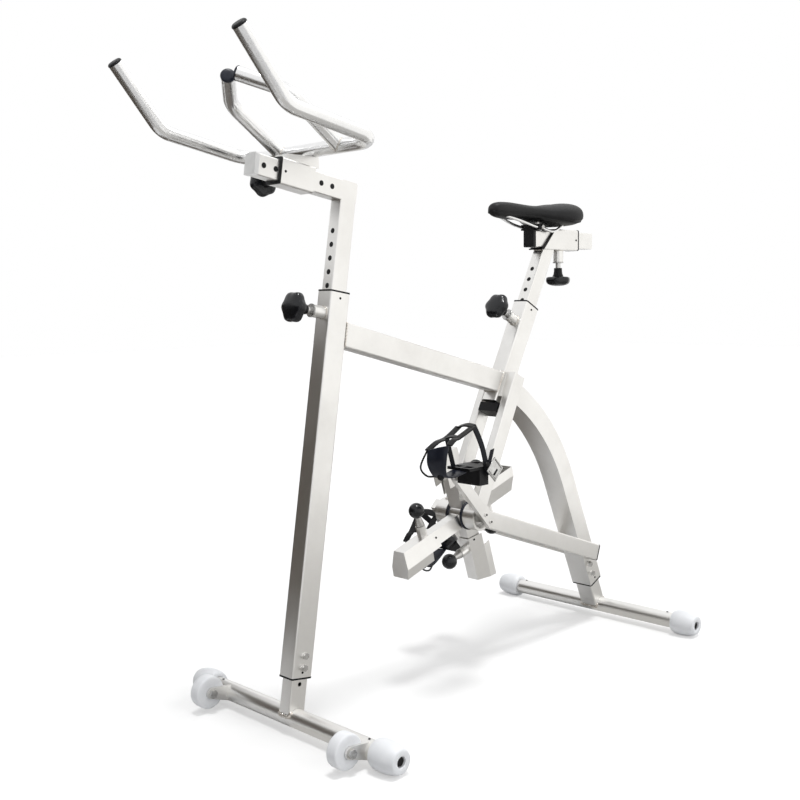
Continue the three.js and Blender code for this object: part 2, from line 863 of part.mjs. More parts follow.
// Hanger of the paddle wheel with its bearing housing
const hangerTop = [seatFoot[0] + hanger.topBack, seatFoot[1] + hanger.topUp];
const hangerLong = Math.hypot(hangerTop[0] - hubAt[0], hangerTop[1] - hubAt[1]);
const hangerLean = degrees(Math.atan2(hangerTop[0] - hubAt[0], hangerTop[1] - hubAt[1]));
const mirrorIf = (piece, side) => (side < 0 ? piece.mirror([1, 0, 0]) : piece);

function hangerLeg(side) {
  const middle = hanger.in + flat.width / 2;
  const leg = boxTube(flat, hanger.from, hangerLong).translate([middle, 0, 0]);
  const shell = acrossX(rod(housing.radius, housing.in, housing.out, roundSides));
  const axleHole = acrossX(rod(hub.axle + gap, 0, housing.out + overrun));
  const cup = acrossX(rod(housing.cup, housing.cupFrom, housing.out + overrun, roundSides));
  const whole = lean(leg, hangerLean, 0, 0).add(shell);
  return onHub(mirrorIf(whole.subtract(axleHole).subtract(cup), side));
}

// Plate on the saddle post's sleeve that fills the room up to a hanger
function hangerPlate(side) {
  const high = spacer.high / 2;
  const inside = sleeve.width / 2 - sleeve.wall / 2;
  const plate = block3([inside, hanger.in - gap], [-high, high], [hangerLong - spacer.long, hangerLong]);
  return onHub(mirrorIf(lean(plate, hangerLean, 0, 0), side));
}

// The room that a hanger takes beside the curved tube
function hangerClearance(side) {
  const middle = hanger.in + flat.width / 2;
  const leg = filled(flat, 0, hangerLong, gap).translate([middle, 0, 0]);
  return onHub(mirrorIf(lean(leg, hangerLean, 0, 0), side));
}

// Lower arm, from the bearing housing to the curved tube's side
function lowerArm(side) {
  const [back, up] = along(archFoot, -arch.lean, arm.meets);
  const reach = Math.hypot(back - hubAt[0], up - hubAt[1]) + arm.past;
  const armLean = degrees(Math.atan2(back - hubAt[0], up - hubAt[1]));
  const middle = wide.width / 2 + gap + flat.width / 2;
  const tube = boxTube(flat, 0, reach).translate([middle, 0, 0]);
  const shell = acrossX(rod(housing.radius + gap, 0, housing.out + overrun, roundSides));
  return onHub(mirrorIf(lean(tube, armLean, 0, 0).subtract(shell), side));
}

// Plastic block between the two hangers, under the saddle post
function crossBlock() {
  const low = hangerLong - block.under - block.height / 2;
  const body = block3([-block.half, block.half], [block.front, block.back], [low, low + block.height]);
  return onHub(lean(body, hangerLean, 0, 0));
}

// Hub with its axle and the four carriers that the blades slide on
function crankAxle() {
  const barrel = rod(hub.radius, -hub.half, hub.half, roundSides);
  const axle = rod(hub.axle, -hub.axleHalf, hub.axleHalf, smallSides);
  let made = acrossX(barrel.add(axle));
  const outline = new THREE.Shape([
    new THREE.Vector2(-carrier.frontHalf, carrier.front),
    new THREE.Vector2(carrier.frontHalf, carrier.front),
    new THREE.Vector2(carrier.backHalf, carrier.back),
    new THREE.Vector2(-carrier.backHalf, carrier.back),
  ]);
  for (let i = 0; i < blade.count; i++) {
    const spoke = prism(outline, hub.radius / 2, carrier.to);
    made = made.add(lean(spoke, bladeLean(i), 0, 0));
  }
  return onHub(made);
}

const bladeLean = (i) => blade.angle + i * blade.apart;

// Cross-section of a blade between two depths, drawn in by a wall
function bladeOutline(inset, deep) {
  const points = [
    [blade.backHalf - inset, blade.back - inset],
    [blade.kneeHalf - inset, blade.knee],
  ];
  if (deep) points.push([blade.rimHalf - inset, blade.rim]);
  const left = points.map(([x, y]) => new THREE.Vector2(-x, y));
  const right = points.map(([x, y]) => new THREE.Vector2(x, y)).reverse();
  return new THREE.Shape([...left, ...right]);
}

// Hollow blade, open towards the side it pushes with, and closed at its tip
function paddleBlade(i) {
  const end = blade.length + blade.slant;
  const trough = prism(bladeOutline(0, false), 0, end);
  const lip = prism(bladeOutline(0, true), blade.lipFrom, end);
  const slope = Math.atan2(blade.slant, blade.back - blade.rim);
  const normal = [0, -Math.sin(slope), -Math.cos(slope)];
  const offset = normal[1] * blade.back + normal[2] * blade.length;
  const outside = trough.add(lip).trimByPlane(normal, offset);
  const low = prism(bladeOutline(blade.wall, false), -overrun, end);
  const mouth = block3(
    [-blade.kneeHalf + blade.wall, blade.kneeHalf - blade.wall],
    [blade.rim - overrun, blade.knee + overrun],
    [-overrun, blade.lipFrom],
  );
  const deep = prism(bladeOutline(blade.wall, true), blade.lipFrom - gap, end);
  const open = block3(
    [-blade.rimHalf + blade.wall, blade.rimHalf - blade.wall],
    [blade.rim - overrun, blade.rim + overrun],
    [blade.lipFrom, end],
  );
  const hollow = low.add(mouth).add(deep).add(open).trimByPlane(normal, offset + blade.wall);
  const base = rod(ball.base, -ball.cone, 0).translate([0, 0, -blade.back + gap]);
  const barrel = towardsFront(base).translate([0, 0, blade.pinAt]);
  const hole = towardsFront(rod(ball.bore, -blade.back - ball.cone - overrun, 0));
  const made = outside
    .subtract(hollow)
    .add(barrel)
    .subtract(hole.translate([0, 0, blade.pinAt]));
  return onBlade(made, i);
}

const onBlade = (piece, i) =>
  onHub(lean(piece.translate([0, 0, blade.start + blade.pulled[i]]), bladeLean(i), 0, 0));

function bladePin(i) {
  const face = blade.back;
  const sphere = solid(new THREE.SphereGeometry(ball.radius, smallSides, smallSides / 2));
  const neck = turned(
    [
      [0, face + ball.cone + gap],
      [ball.neckBase, face + ball.cone + gap],
      [ball.neck, face + ball.at - ball.radius + gap],
      [0, face + ball.at - ball.radius + gap],
    ],
    smallSides,
  );
  const shaft = rod(ball.shaft, carrier.back + pin.tipClear, face + ball.at);
  const standingPin = sphere.translate([0, 0, face + ball.at]).add(neck).add(shaft);
  const turnedPin = standingPin.rotate([-90, 0, 0]).translate([0, 0, blade.pinAt]);
  return onBlade(turnedPin, i);
}

// Crank arm with the two screws that hold it to the axle
function crankArm(side) {
  const half = crank.width / 2;
  const from = crank.in;
  const to = crank.in + crank.thick;
  const body = block3([from, to], [-half, half], [-crank.tail, crank.length]);
  const round = acrossX(rod(half, from, to));
  let made = body.add(round.translate([0, 0, crank.length]));
  for (const along of [crank.screw, -crank.screw]) {
    const head = acrossX(rod(crank.screwRadius, to - gap, to + crank.screwHead));
    made = made.add(head.translate([0, 0, along]));
  }
  const spindle = acrossX(rod(pedal.spindle, from + gap, pedal.in + pedal.width - pedal.endWall - gap));
  const whole = made.add(spindle.translate([0, 0, crank.length]));
  return onCrank(whole, side);
}

const crankLean = (side) => (side < 0 ? crank.lean + 180 : crank.lean);

// Puts a piece drawn for the left crank on either side
function onCrank(piece, side) {
  return onHub(lean(mirrorIf(piece, side), crankLean(side), 0, 0));
}

// Puts a piece drawn about a pedal's spindle on either side
function onPedal(piece, side) {
  const turn = side < 0 ? pedal.lean.right : pedal.lean.left;
  const centre = along([0, 0], crankLean(side), crank.length);
  return onHub(mirrorIf(piece, side).rotate([turn, 0, 0]).translate([0, ...centre]));
}

function pedalBody(side) {
  const across = [pedal.in, pedal.in + pedal.width];
  const half = pedal.long / 2;
  const platform = block3(across, [-half, half], [pedal.under, pedal.top]);
  const barrel = block3(across, [-pedal.barrel, pedal.barrel], [pedal.barrelUnder, pedal.top]);
  const bore = acrossX(rod(pedal.bore, across[0] - overrun, across[1] - pedal.endWall));
  const spare = (pedal.width - pedal.windows * pedal.windowWidth) / (pedal.windows + 1);
  let made = platform.add(barrel).subtract(bore);
  for (let i = 0; i < pedal.windows; i++) {
    const start = across[0] + spare + i * (spare + pedal.windowWidth);
    const window = block3(
      [start, start + pedal.windowWidth],
      [pedal.windowFrom, pedal.windowTo],
      [pedal.under - overrun, pedal.top + overrun],
    );
    made = made.subtract(window).subtract(window.mirror([0, 1, 0]));
  }
  return onPedal(made, side);
}

// The tight skin round small balls at some places: a bar, or a plate with round edges
function stretched(places, radius) {
  const knot = (spot) => solid(new THREE.SphereGeometry(radius, cage.sides, cage.sides - 2)).translate(spot);
  return wasm.Manifold.hull(places.map(knot));
}

// Toe cage: a front panel, two side bars with a ridge between, a strap and a wire loop
function toeCage(side) {
  const plates = [
    [cage.toeIn, cage.toeOut, cage.soleIn, cage.soleOut],
    [cage.soleIn, cage.soleOut, cage.footIn, cage.footOut],
  ];
  const bars = [
    [cage.toeIn, cage.ridgeIn],
    [cage.ridgeIn, cage.crownIn],
    [cage.toeOut, cage.ridgeOut],
    [cage.ridgeOut, cage.crownOut],
    [cage.ridgeIn, cage.ridgeOut],
    [cage.crownIn, cage.crownOut],
    [cage.crownOut, cage.strapOut],
    [cage.strapOut, cage.strapOutFoot],
    [cage.strapOut, cage.looseEnd],
    [cage.ridgeIn, cage.strapInFoot],
  ];
  const wires = cage.loop.slice(1).map((spot, i) => [cage.loop[i], spot]);
  const pieces = [
    ...plates.map((spots) => stretched(spots, cage.panel)),
    ...bars.map((spots) => stretched(spots, cage.band)),
    ...wires.map((spots) => stretched(spots, cage.wire)),
  ];
  const keepOff = block3(
    [pedal.in - overrun, pedal.in + pedal.width + gap],
    [-pedal.long / 2 - gap, pedal.long / 2 + gap],
    [pedal.barrelUnder, pedal.top + gap],
  );
  return onPedal(wasm.Manifold.union(pieces).subtract(keepOff), side);
}

const bike = new THREE.Group();
bike.name = "pool_exercise_bike";

// Adds a solid to the bike as one named piece.
function add(name, piece, look) {
  const data = piece.simplify(smallest).getMesh();
  const geometry = new THREE.BufferGeometry();
  geometry.setAttribute("position", new THREE.BufferAttribute(data.vertProperties, 3));
  geometry.setIndex(new THREE.BufferAttribute(data.triVerts, 1));
  geometry.computeVertexNormals();
  const mesh = new THREE.Mesh(geometry, new THREE.MeshStandardMaterial(look));
  mesh.name = name;
  bike.add(mesh);
}

const sides = [
  ["left", 1],
  ["right", -1],
];

add("front_base_tube", frontBase(), steel);
add("rear_base_tube", footTube().translate([0, feet.back, 0]), steel);
for (const [name, side] of sides) {
  add(`front_foot_${name}`, rubberFoot(side), white);
  add(`rear_foot_${name}`, rubberFoot(side).translate([0, feet.back, 0]), white);
}
sides.forEach(([name], i) => {
  add(`transport_wheel_${name}`, transportWheel(tabsAt[i]), white);
  add(`wheel_bolt_${name}`, wheelBolt(tabsAt[i]), polished);
});
add("front_leg", onPost(footLeg(inner, post.legFrom, post.legTo, post.legHole)), steel);
add("post_sleeve", onPost(postSleeve()), steel);
add("post_lining_upper", onPost(mouthLining(post.sleeveTo)), black);
const lowerLining = mouthLining(-post.sleeveFrom).rotate([180, 0, 0]);
add("post_lining_lower", onPost(lowerLining), black);
add("main_beam", mainBeam(), steel);
add("seat_sleeve", onSeat(seatSleeve()).add(hangerPlate(1)).add(hangerPlate(-1)), steel);
add("seat_lining", onSeat(mouthLining(seat.sleeveTo)), black);
add("arch_tube", archTube(), steel);
const archLining = mouthLining(-arch.from, wide, wideInner).rotate([180, 0, 0]);
add("arch_lining", onArchFoot(archLining), black);
add("rear_leg", onArchFoot(footLeg(wideInner, arch.legFrom, arch.legTo, arch.bolts[0])), steel);
for (const [name, side] of sides) {
  add(`hanger_${name}`, hangerLeg(side), steel);
  add(`lower_arm_${name}`, lowerArm(side), steel);
}
add("cross_block", crossBlock(), black);
add("stem_post", stemPost(), steel);
add("stem_cap", stemCap(), white);
add("stem_sleeve", stemSleeve(), steel);
add("stem_lining", onStem(mouthLining(stem.sleeveTo)), black);
add("handlebar", handlebar(), polished);
add("horn_cap_left", endCap(bar.elbow, bar.tip), black);
add("horn_cap_right", endCap(mirrored(bar.elbow), mirrored(bar.tip)), black);
add("arm_cap_left", endCap(bar.armElbow, bar.armTip), black);
add("arm_cap_right", endCap(mirrored(bar.armElbow), mirrored(bar.armTip)), black);

const postPin = towardsFront(springPin(sleeve.depth / 2, inner.depth / 2));
add("post_pin", onPost(postPin.translate([0, 0, pinOnPost])), black);
const stemPin = acrossX(springPin(sleeve.width / 2, inner.width / 2)).rotate([0, 0, 180]);
add("stem_pin", onStem(stemPin.translate([0, 0, stem.pin])), black);
add("seat_pin", onSeat(postPin.translate([0, 0, seat.pin])), black);
const sliderPin = springPin(sleeve.depth / 2, inner.depth / 2).rotate([180, 0, 0]);
add("slider_pin", onSlider(sliderPin.translate([0, slider.pin, 0])), black);

add("seat_post", seatPost(), steel);
add("slider_lining_back", sliderLining(), black);
add("slider_lining_front", sliderFrontLining(), black);
add("slider_tube", sliderTube(), steel);
add("saddle_clamp", saddleClamp(), black);
add("saddle_rails", saddleWire(rail.radius), polished);
add("saddle", saddlePad(), padding);

add("crank_axle", crankAxle(), steel);
for (const [name, side] of sides) {
  add(`crank_${name}`, crankArm(side), steel);
  add(`pedal_${name}`, pedalBody(side), black);
  add(`toe_cage_${name}`, toeCage(side), black);
}
for (let i = 0; i < blade.count; i++) {
  add(`blade_${i + 1}`, paddleBlade(i), steel);
  add(`blade_pin_${i + 1}`, bladePin(i), black);
}

// The frame's origin is on the floor under the middle of the whole bike.
const box = new THREE.Box3().setFromObject(bike);
const shift = (box.min.y + box.max.y) / 2;
for (const mesh of bike.children) mesh.geometry.translate(0, -shift, 0);

export default bike;
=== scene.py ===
# %% [markdown]
# # A pool exercise bike
#
# A stainless steel bike that stands on the floor of a pool. Its rider pushes a paddle wheel
# round under water. The CAD model gives every size and every place, so this notebook only
# dresses it: smoother tubes, real finishes, welds, screws, a padded saddle and toe cages.

import json
from math import cos, pi, radians, sin

import bmesh
import bpy
from mathutils import Matrix, Vector
from mathutils.geometry import convex_hull_2d


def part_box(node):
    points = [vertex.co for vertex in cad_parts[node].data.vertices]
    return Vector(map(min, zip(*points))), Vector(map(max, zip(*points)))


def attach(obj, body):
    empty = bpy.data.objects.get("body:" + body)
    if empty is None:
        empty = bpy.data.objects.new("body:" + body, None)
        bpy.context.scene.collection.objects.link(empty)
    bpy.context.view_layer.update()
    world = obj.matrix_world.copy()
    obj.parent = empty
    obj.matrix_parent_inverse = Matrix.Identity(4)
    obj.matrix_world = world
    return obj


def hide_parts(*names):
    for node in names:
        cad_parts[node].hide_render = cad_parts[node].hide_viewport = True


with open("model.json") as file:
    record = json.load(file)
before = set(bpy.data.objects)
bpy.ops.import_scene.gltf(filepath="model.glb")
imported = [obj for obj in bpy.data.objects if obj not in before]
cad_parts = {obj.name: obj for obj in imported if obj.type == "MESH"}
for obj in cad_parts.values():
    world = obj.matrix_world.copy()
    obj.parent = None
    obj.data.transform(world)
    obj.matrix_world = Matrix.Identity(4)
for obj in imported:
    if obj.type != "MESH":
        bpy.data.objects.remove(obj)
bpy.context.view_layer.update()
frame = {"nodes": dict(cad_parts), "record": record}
scene = bpy.context.scene
scene.view_settings.view_transform = "Standard"

# %% [markdown]
# ## Places on the bike
#
# Most tubes lean, so a screw or a weld is easier to place along its own tube. Each function
# below takes millimetres measured on one tube and gives the place on the whole bike. A matrix
# does this in one step: it scales, leans and moves.

# %% Leaning frames for the tubes
MM = 0.001
MIDDLE = 415.7149  # mm from the front foot's axis to the middle of the bike
AXIS_UP, REAR_BACK = 29, 1036  # height of the foot tubes' axes, and how far apart they are
HUB = (513, 350)
POST_LEAN, SEAT_LEAN, ARCH_LEAN, HANGER_LEAN, ARM_LEAN = 9.2, 28.0, -23.9, 26.3, 109.7
CRANK_LEANS = {"left": -42.9, "right": 137.1}
CRANK_LONG = 145
SIDES = (("left", 1), ("right", -1))


def standing(back, up, lean=0.0):
    """Local z runs up along a tube that leans back by so many degrees."""
    move = Matrix.Translation(Vector((0, back - MIDDLE, up)) * MM)
    return move @ Matrix.Rotation(-radians(lean), 4, "X") @ Matrix.Scale(MM, 4)


def along(back, up, lean, distance):
    """The place so far up a leaning tube."""
    return back + sin(radians(lean)) * distance, up + cos(radians(lean)) * distance


stem_foot = along(0, AXIS_UP, POST_LEAN, 1032.8)
seat_foot = (631.9, 600.04)
slider_at = along(*seat_foot, SEAT_LEAN, 376 / cos(radians(SEAT_LEAN)))
on_bike = standing(0, 0)
on_post = standing(0, AXIS_UP, POST_LEAN)
on_stem = standing(*stem_foot, POST_LEAN - 90)
on_bar = standing(*stem_foot)
on_seat = standing(*seat_foot, SEAT_LEAN)
on_slider = standing(*slider_at)
on_hub = standing(*HUB)
on_arch = standing(REAR_BACK, AXIS_UP, ARCH_LEAN)
print("stem corner at", [round(v) for v in stem_foot], "slider at", [round(v) for v in slider_at])

# %% [markdown]
# ## The camera
#
# The photograph looks down a little from the front right. The lens and the turn below were
# worked out from the straight edges of the frame, whose sizes are known.

# %% Camera
TURN, DOWN, ROLL = radians(44.5234), radians(5.5687), radians(-0.7348)
EYE = (1.54468, -1.67196, 0.84)
SENSOR, FOCAL = 36, 47.164
ahead = Vector((-sin(TURN) * cos(DOWN), cos(TURN) * cos(DOWN), -sin(DOWN)))
level = Vector((cos(TURN), sin(TURN), 0))
upward = level.cross(ahead)
across = level * cos(ROLL) + upward * sin(ROLL)
upward = upward * cos(ROLL) - level * sin(ROLL)
lens = bpy.data.cameras.new("camera")
lens.sensor_width = SENSOR
lens.lens = FOCAL
camera = bpy.data.objects.new("camera", lens)
axes = Matrix((across, upward, -ahead)).transposed()
camera.matrix_world = Matrix.Translation(EYE) @ axes.to_4x4()
scene.collection.objects.link(camera)
scene.camera = camera
print("lens", lens.lens, "mm")

# %% [markdown]
# ## Light
#
# Steel shows the room more than its own colour. In the photograph the right sides of the tubes
# mirror a white wall and the front sides mirror something darker. So the room is white, a grey
# board stands on the front left with a grey mat beside the bike, and a white board stands on the
# back right. Only metal mirrors them. Soft light from overhead gives the pale shadow on the
# floor. Sky light and lamps together come to about one, at which a colour renders as written.

# %% Node helpers


def link_nodes(tree, pairs):
    """Joins sockets: each pair is (node, output, node, input)."""
    for source, output, target, entry in pairs:
        tree.links.new(source.outputs[output], target.inputs[entry])


def set_inputs(node, **values):
    """Sets a node's inputs by name, with _ for each space."""
    for label, value in values.items():
        node.inputs[label.replace("_", " ")].default_value = value
    return node


def math_node(tree, operation, first, second):
    node = tree.nodes.new("ShaderNodeMath")
    node.operation = operation
    for entry, value in zip(node.inputs, (first, second)):
        if isinstance(value, (int, float)):
            entry.default_value = value
        else:
            tree.links.new(value, entry)
    return node.outputs[0]


def seen_directly(tree, kinds=("Is Camera Ray", "Is Glossy Ray", "Is Transmission Ray")):
    """One for the rays that see a surface or mirror it, zero for those that light others."""
    path = tree.nodes.new("ShaderNodeLightPath")
    mask = path.outputs[kinds[0]]
    for kind in kinds[1:]:
        mask = math_node(tree, "MAXIMUM", mask, path.outputs[kind])
    return mask


# %% White room
SKY_LIGHT = 0.42
world = bpy.data.worlds.new("white_room")
world.use_nodes = True
scene.world = world
sky = world.node_tree
room = set_inputs(sky.nodes["Background"], Color=(1, 1, 1, 1))
level_now = math_node(sky, "MULTIPLY", seen_directly(sky), 1 - SKY_LIGHT)
level_now = math_node(sky, "ADD", level_now, SKY_LIGHT)
sky.links.new(level_now, room.inputs["Strength"])

# %% Floor, boards and lamps


def stage_plane(name, corners, material):
    mesh = bpy.data.meshes.new(name)
    mesh.from_pydata(corners, [], [tuple(range(len(corners)))])
    mesh.materials.append(material)
    obj = bpy.data.objects.new(name, mesh)
    scene.collection.objects.link(obj)
    return obj


def stage_material(name, colour, seen, mirrored):
    """Matt paint that also glows a little where it is seen, and where metal mirrors it."""
    made = bpy.data.materials.new(name)
    made.use_nodes = True
    tree = made.node_tree
    paint = set_inputs(
        tree.nodes["Principled BSDF"], Base_Color=(*colour, 1), Roughness=0.9,
        Specular_IOR_Level=0, Emission_Color=(1, 1, 1, 1),
    )
    direct = math_node(tree, "MULTIPLY", seen_directly(tree, ("Is Camera Ray",)), seen)
    in_metal = seen_directly(tree, ("Is Glossy Ray", "Is Transmission Ray"))
    in_metal = math_node(tree, "MULTIPLY", in_metal, mirrored)
    tree.links.new(math_node(tree, "ADD", direct, in_metal), paint.inputs["Emission Strength"])
    return made


def rectangle(left, right, front, back, up):
    return [(left, front, up), (right, front, up), (right, back, up), (left, back, up)]


ROOM = 14  # half the floor's width, in metres
MAT_UP = 0.004
white_floor = stage_material("white_floor", (0.62, 0.62, 0.62), 0.42, 0.06)
stage_plane("floor", rectangle(-ROOM, ROOM, -ROOM, ROOM, 0), white_floor)


def unseen_board(name, corners, colour):
    """A board that only metal mirrors: it hides nothing and takes no light away."""
    glow = stage_material(name, (0, 0, 0), 1, 1)
    set_inputs(glow.node_tree.nodes["Principled BSDF"], Emission_Color=(*colour, 1))
    board = stage_plane(name, corners, glow)
    board.visible_camera = board.visible_diffuse = board.visible_shadow = False


def board_round(name, start, end, radius, top, colour):
    """Upright boards in an arc round the bike, between two angles seen from above."""
    step = 10
    for i, angle in enumerate(range(start, end, step)):
        turns = (radians(angle), radians(angle + step))
        low = [(radius * cos(t), radius * sin(t), 0.01) for t in turns]
        unseen_board(f"{name}_{i}", low + [(x, y, top) for x, y, z in low[::-1]], colour)


board_round("grey_board", -185, -75, 1.45, 1.12, (0.085, 0.074, 0.062))
board_round("white_board", -15, 105, 1.6, 2.4, (1.17, 1.16, 1.135))
unseen_board("grey_mat", rectangle(-1.4, -0.34, -0.6, 1.0, MAT_UP), (0.15, 0.135, 0.12))
unseen_board("pale_mat", rectangle(0.0, 1.6, -1.3, 1.4, MAT_UP), (0.56, 0.55, 0.53))


def sun(name, way, strength, softness):
    """Even light from one direction. Its angle sets how soft the shadows are."""
    lamp = bpy.data.lights.new(name, "SUN")
    lamp.energy = strength
    lamp.angle = radians(softness)
    obj = bpy.data.objects.new(name, lamp)
    obj.matrix_world = Vector(way).to_track_quat("-Z", "Y").to_matrix().to_4x4()
    scene.collection.objects.link(obj)


sun("sun_over", (-0.1, 0.02, -1), 1.5, 11)
sun("sun_right", (-0.85, -0.2, -0.5), 0.6, 35)
sun("sun_back", (-0.15, -1, -0.75), 0.5, 35)
print("room", ROOM * 2, "m, sky light", SKY_LIGHT)

# %% [markdown]
# ## Finishes
#
# A real surface is never one flat value. Two effects are shared by all the finishes, so each is
# a node group that is built once: fine grain, from stretched noise, and handling marks, from
# slow noise. Each material adds its own colour and roughness. The patterns read object
# coordinates, so they stay on the piece when it moves.

# %% Shared effects


def new_group(name, numbers, outputs):
    """A shader group with number inputs, given with their usual values, and named outputs."""
    group = bpy.data.node_groups.new(name, "ShaderNodeTree")
    for label, value in numbers.items():
        entry = group.interface.new_socket(label, in_out="INPUT", socket_type="NodeSocketFloat")
        entry.default_value = value
    entry = group.interface.new_socket("Stretch", in_out="INPUT", socket_type="NodeSocketVector")
    entry.default_value = (1, 1, 1)
    for label in outputs:
        group.interface.new_socket(label, in_out="OUTPUT", socket_type="NodeSocketFloat")
    return group, group.nodes.new("NodeGroupInput"), group.nodes.new("NodeGroupOutput")


def noise_in(group, entry, detail, rough):
    """Noise over object coordinates, stretched by the group's vector."""
    where = group.nodes.new("ShaderNodeTexCoord")
    mapping = group.nodes.new("ShaderNodeMapping")
    noise = group.nodes.new("ShaderNodeTexNoise")
    set_inputs(noise, Detail=detail, Roughness=rough)
    link_nodes(group, [
        (where, "Object", mapping, "Vector"),
        (entry, "Stretch", mapping, "Scale"),
        (mapping, "Vector", noise, "Vector"),
        (entry, "Scale", noise, "Scale"),
    ])
    return noise


grain, grain_in, grain_out = new_group(
    "fine_grain", {"Scale": 900, "Depth": 1.0}, ["Height", "Tone"]
)
fine = noise_in(grain, grain_in, 4, 0.6)
height = math_node(grain, "MULTIPLY", fine.outputs["Fac"], grain_in.outputs["Depth"])
tone = math_node(grain, "SUBTRACT", fine.outputs["Fac"], 0.5)
grain.links.new(height, grain_out.inputs["Height"])
grain.links.new(tone, grain_out.inputs["Tone"])

marks, marks_in, marks_out = new_group(
    "handling_marks", {"Scale": 9, "Low": 0.42, "High": 0.7}, ["Mask"]
)
slow = noise_in(marks, marks_in, 6, 0.65)
spread = marks.nodes.new("ShaderNodeMapRange")
link_nodes(marks, [
    (slow, "Fac", spread, "Value"),
    (marks_in, "Low", spread, "From Min"),
    (marks_in, "High", spread, "From Max"),
    (spread, "Result", marks_out, "Mask"),
])
print("groups:", grain.name, "and", marks.name)

# %% A finish from its colours and roughness


def placed_group(tree, group, numbers, stretch):
    """A shared effect in a material, with the material's own numbers."""
    node = tree.nodes.new("ShaderNodeGroup")
    node.node_tree = group
    return set_inputs(node, Stretch=stretch, **numbers)


def finish(name, clean, marked, rough, grains, spots, bump, stretch=(1, 1, 1), **sockets):
    """Principled material. Colour goes from clean to marked and roughness between two values.
    Grains is the grain's scale and depth, and spots the marks' scale, low and high end."""
    made = bpy.data.materials.new(name)
    made.use_nodes = True
    tree = made.node_tree
    surface = set_inputs(tree.nodes["Principled BSDF"], **sockets)
    grain_node = placed_group(tree, grain, dict(zip(("Scale", "Depth"), grains)), stretch)
    marks_numbers = dict(zip(("Scale", "Low", "High"), spots))
    marks_node = placed_group(tree, marks, marks_numbers, (1, 1, 1))
    colour = tree.nodes.new("ShaderNodeMix")
    colour.data_type = "RGBA"
    set_inputs(colour, A=(*clean, 1), B=(*marked, 1))
    fleck = math_node(tree, "MULTIPLY", grain_node.outputs["Tone"], 0.25)
    share = math_node(tree, "ADD", marks_node.outputs["Mask"], fleck)
    tree.links.new(share, colour.inputs["Factor"])
    low, high = rough
    wear = math_node(tree, "MULTIPLY", marks_node.outputs["Mask"], high - low)
    wear = math_node(tree, "ADD", wear, low)
    relief = set_inputs(tree.nodes.new("ShaderNodeBump"), Strength=bump, Distance=0.4 * MM)
    tree.links.new(wear, surface.inputs["Roughness"])
    link_nodes(tree, [
        (colour, "Result", surface, "Base Color"),
        (grain_node, "Height", relief, "Height"),
        (relief, "Normal", surface, "Normal"),
    ])
    return made


STEEL = finish(
    "satin_steel", (0.84, 0.832, 0.815), (0.76, 0.75, 0.73), (0.3, 0.4),
    (1100, 1), (7, 0.4, 0.75), 0.12, Metallic=1.0,
)
STEEL_BAR = finish(
    "polished_steel", (0.86, 0.86, 0.86), (0.76, 0.76, 0.76), (0.24, 0.34),
    (700, 1), (14, 0.45, 0.8), 0.02, Metallic=1.0,
)
WELD = finish(
    "weld_steel", (0.8, 0.77, 0.72), (0.5, 0.45, 0.4), (0.22, 0.42),
    (420, 1), (60, 0.35, 0.7), 0.6, Metallic=1.0,
)
BOLT = finish(
    "bolt_steel", (0.62, 0.62, 0.61), (0.42, 0.41, 0.4), (0.2, 0.36),
    (900, 1), (40, 0.4, 0.7), 0.15, Metallic=1.0,
)
BLACK = finish(
    "black_nylon", (0.006, 0.006, 0.007), (0.016, 0.016, 0.018), (0.36, 0.5),
    (1500, 1), (22, 0.45, 0.75), 0.35, Specular_IOR_Level=0.2,
)
NAVY = finish(
    "dark_blue_plastic", (0.005, 0.007, 0.016), (0.012, 0.016, 0.03), (0.3, 0.5),
    (1300, 1), (26, 0.45, 0.75), 0.3, Specular_IOR_Level=0.35,
)
PALE = finish(
    "pale_rubber", (0.9, 0.915, 0.94), (0.83, 0.85, 0.88), (0.42, 0.6),
    (1200, 1), (18, 0.45, 0.8), 0.3,
)
CAP_WHITE = finish(
    "white_cap", (0.88, 0.88, 0.87), (0.8, 0.8, 0.79), (0.4, 0.55),
    (1200, 1), (20, 0.45, 0.8), 0.25,
)
SADDLE = finish(
    "saddle_skin", (0.004, 0.004, 0.005), (0.011, 0.011, 0.012), (0.45, 0.62),
    (520, 1), (16, 0.4, 0.75), 0.75, Specular_IOR_Level=0.3,
)
KNOB = finish(
    "glossy_knob", (0.004, 0.005, 0.007), (0.012, 0.013, 0.017), (0.2, 0.34),
    (1500, 1), (22, 0.45, 0.75), 0.2, Specular_IOR_Level=0.45,
)
WEB = finish(
    "strap_web", (0.004, 0.0045, 0.008), (0.012, 0.014, 0.02), (0.55, 0.75),
    (650, 1), (30, 0.4, 0.75), 0.9, stretch=(1, 3, 1), Specular_IOR_Level=0.22,
)

# %% [markdown]
# ## Tubes and other pieces whose shape is right
#
# Most of the bike is cut and welded box tube, and the CAD model has its real sizes. Only its
# rounded corners look faceted, because its triangles are loose. A copy with its corners joined
# can be shaded smoothly wherever two faces meet at a small angle.

# %% Smooth copies of CAD nodes
BODIES = frame["record"]["behaviour"]["bodies"]
BODY = {node: body for body, members in BODIES.items() for node in members}
SHARP, BLADE_SHARP, BOLT_SHARP = 32, 12, 40  # degrees at which two faces no longer shade as one


def settle(obj, body, material, *nodes):
    """The last step of every piece: finish, slot, the body it rides on, and what it replaces."""
    obj.data.materials.clear()
    obj.data.materials.append(material)
    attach(obj, body)
    if nodes:
        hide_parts(*nodes)
    return obj


def linked(name, mesh):
    obj = bpy.data.objects.new(name, mesh)
    scene.collection.objects.link(obj)
    return obj


def shaded(mesh, sharp):
    """Smooth shading everywhere but over edges sharper than an angle."""
    mesh.shade_smooth()
    mesh.set_sharp_from_angle(angle=radians(sharp))
    return mesh


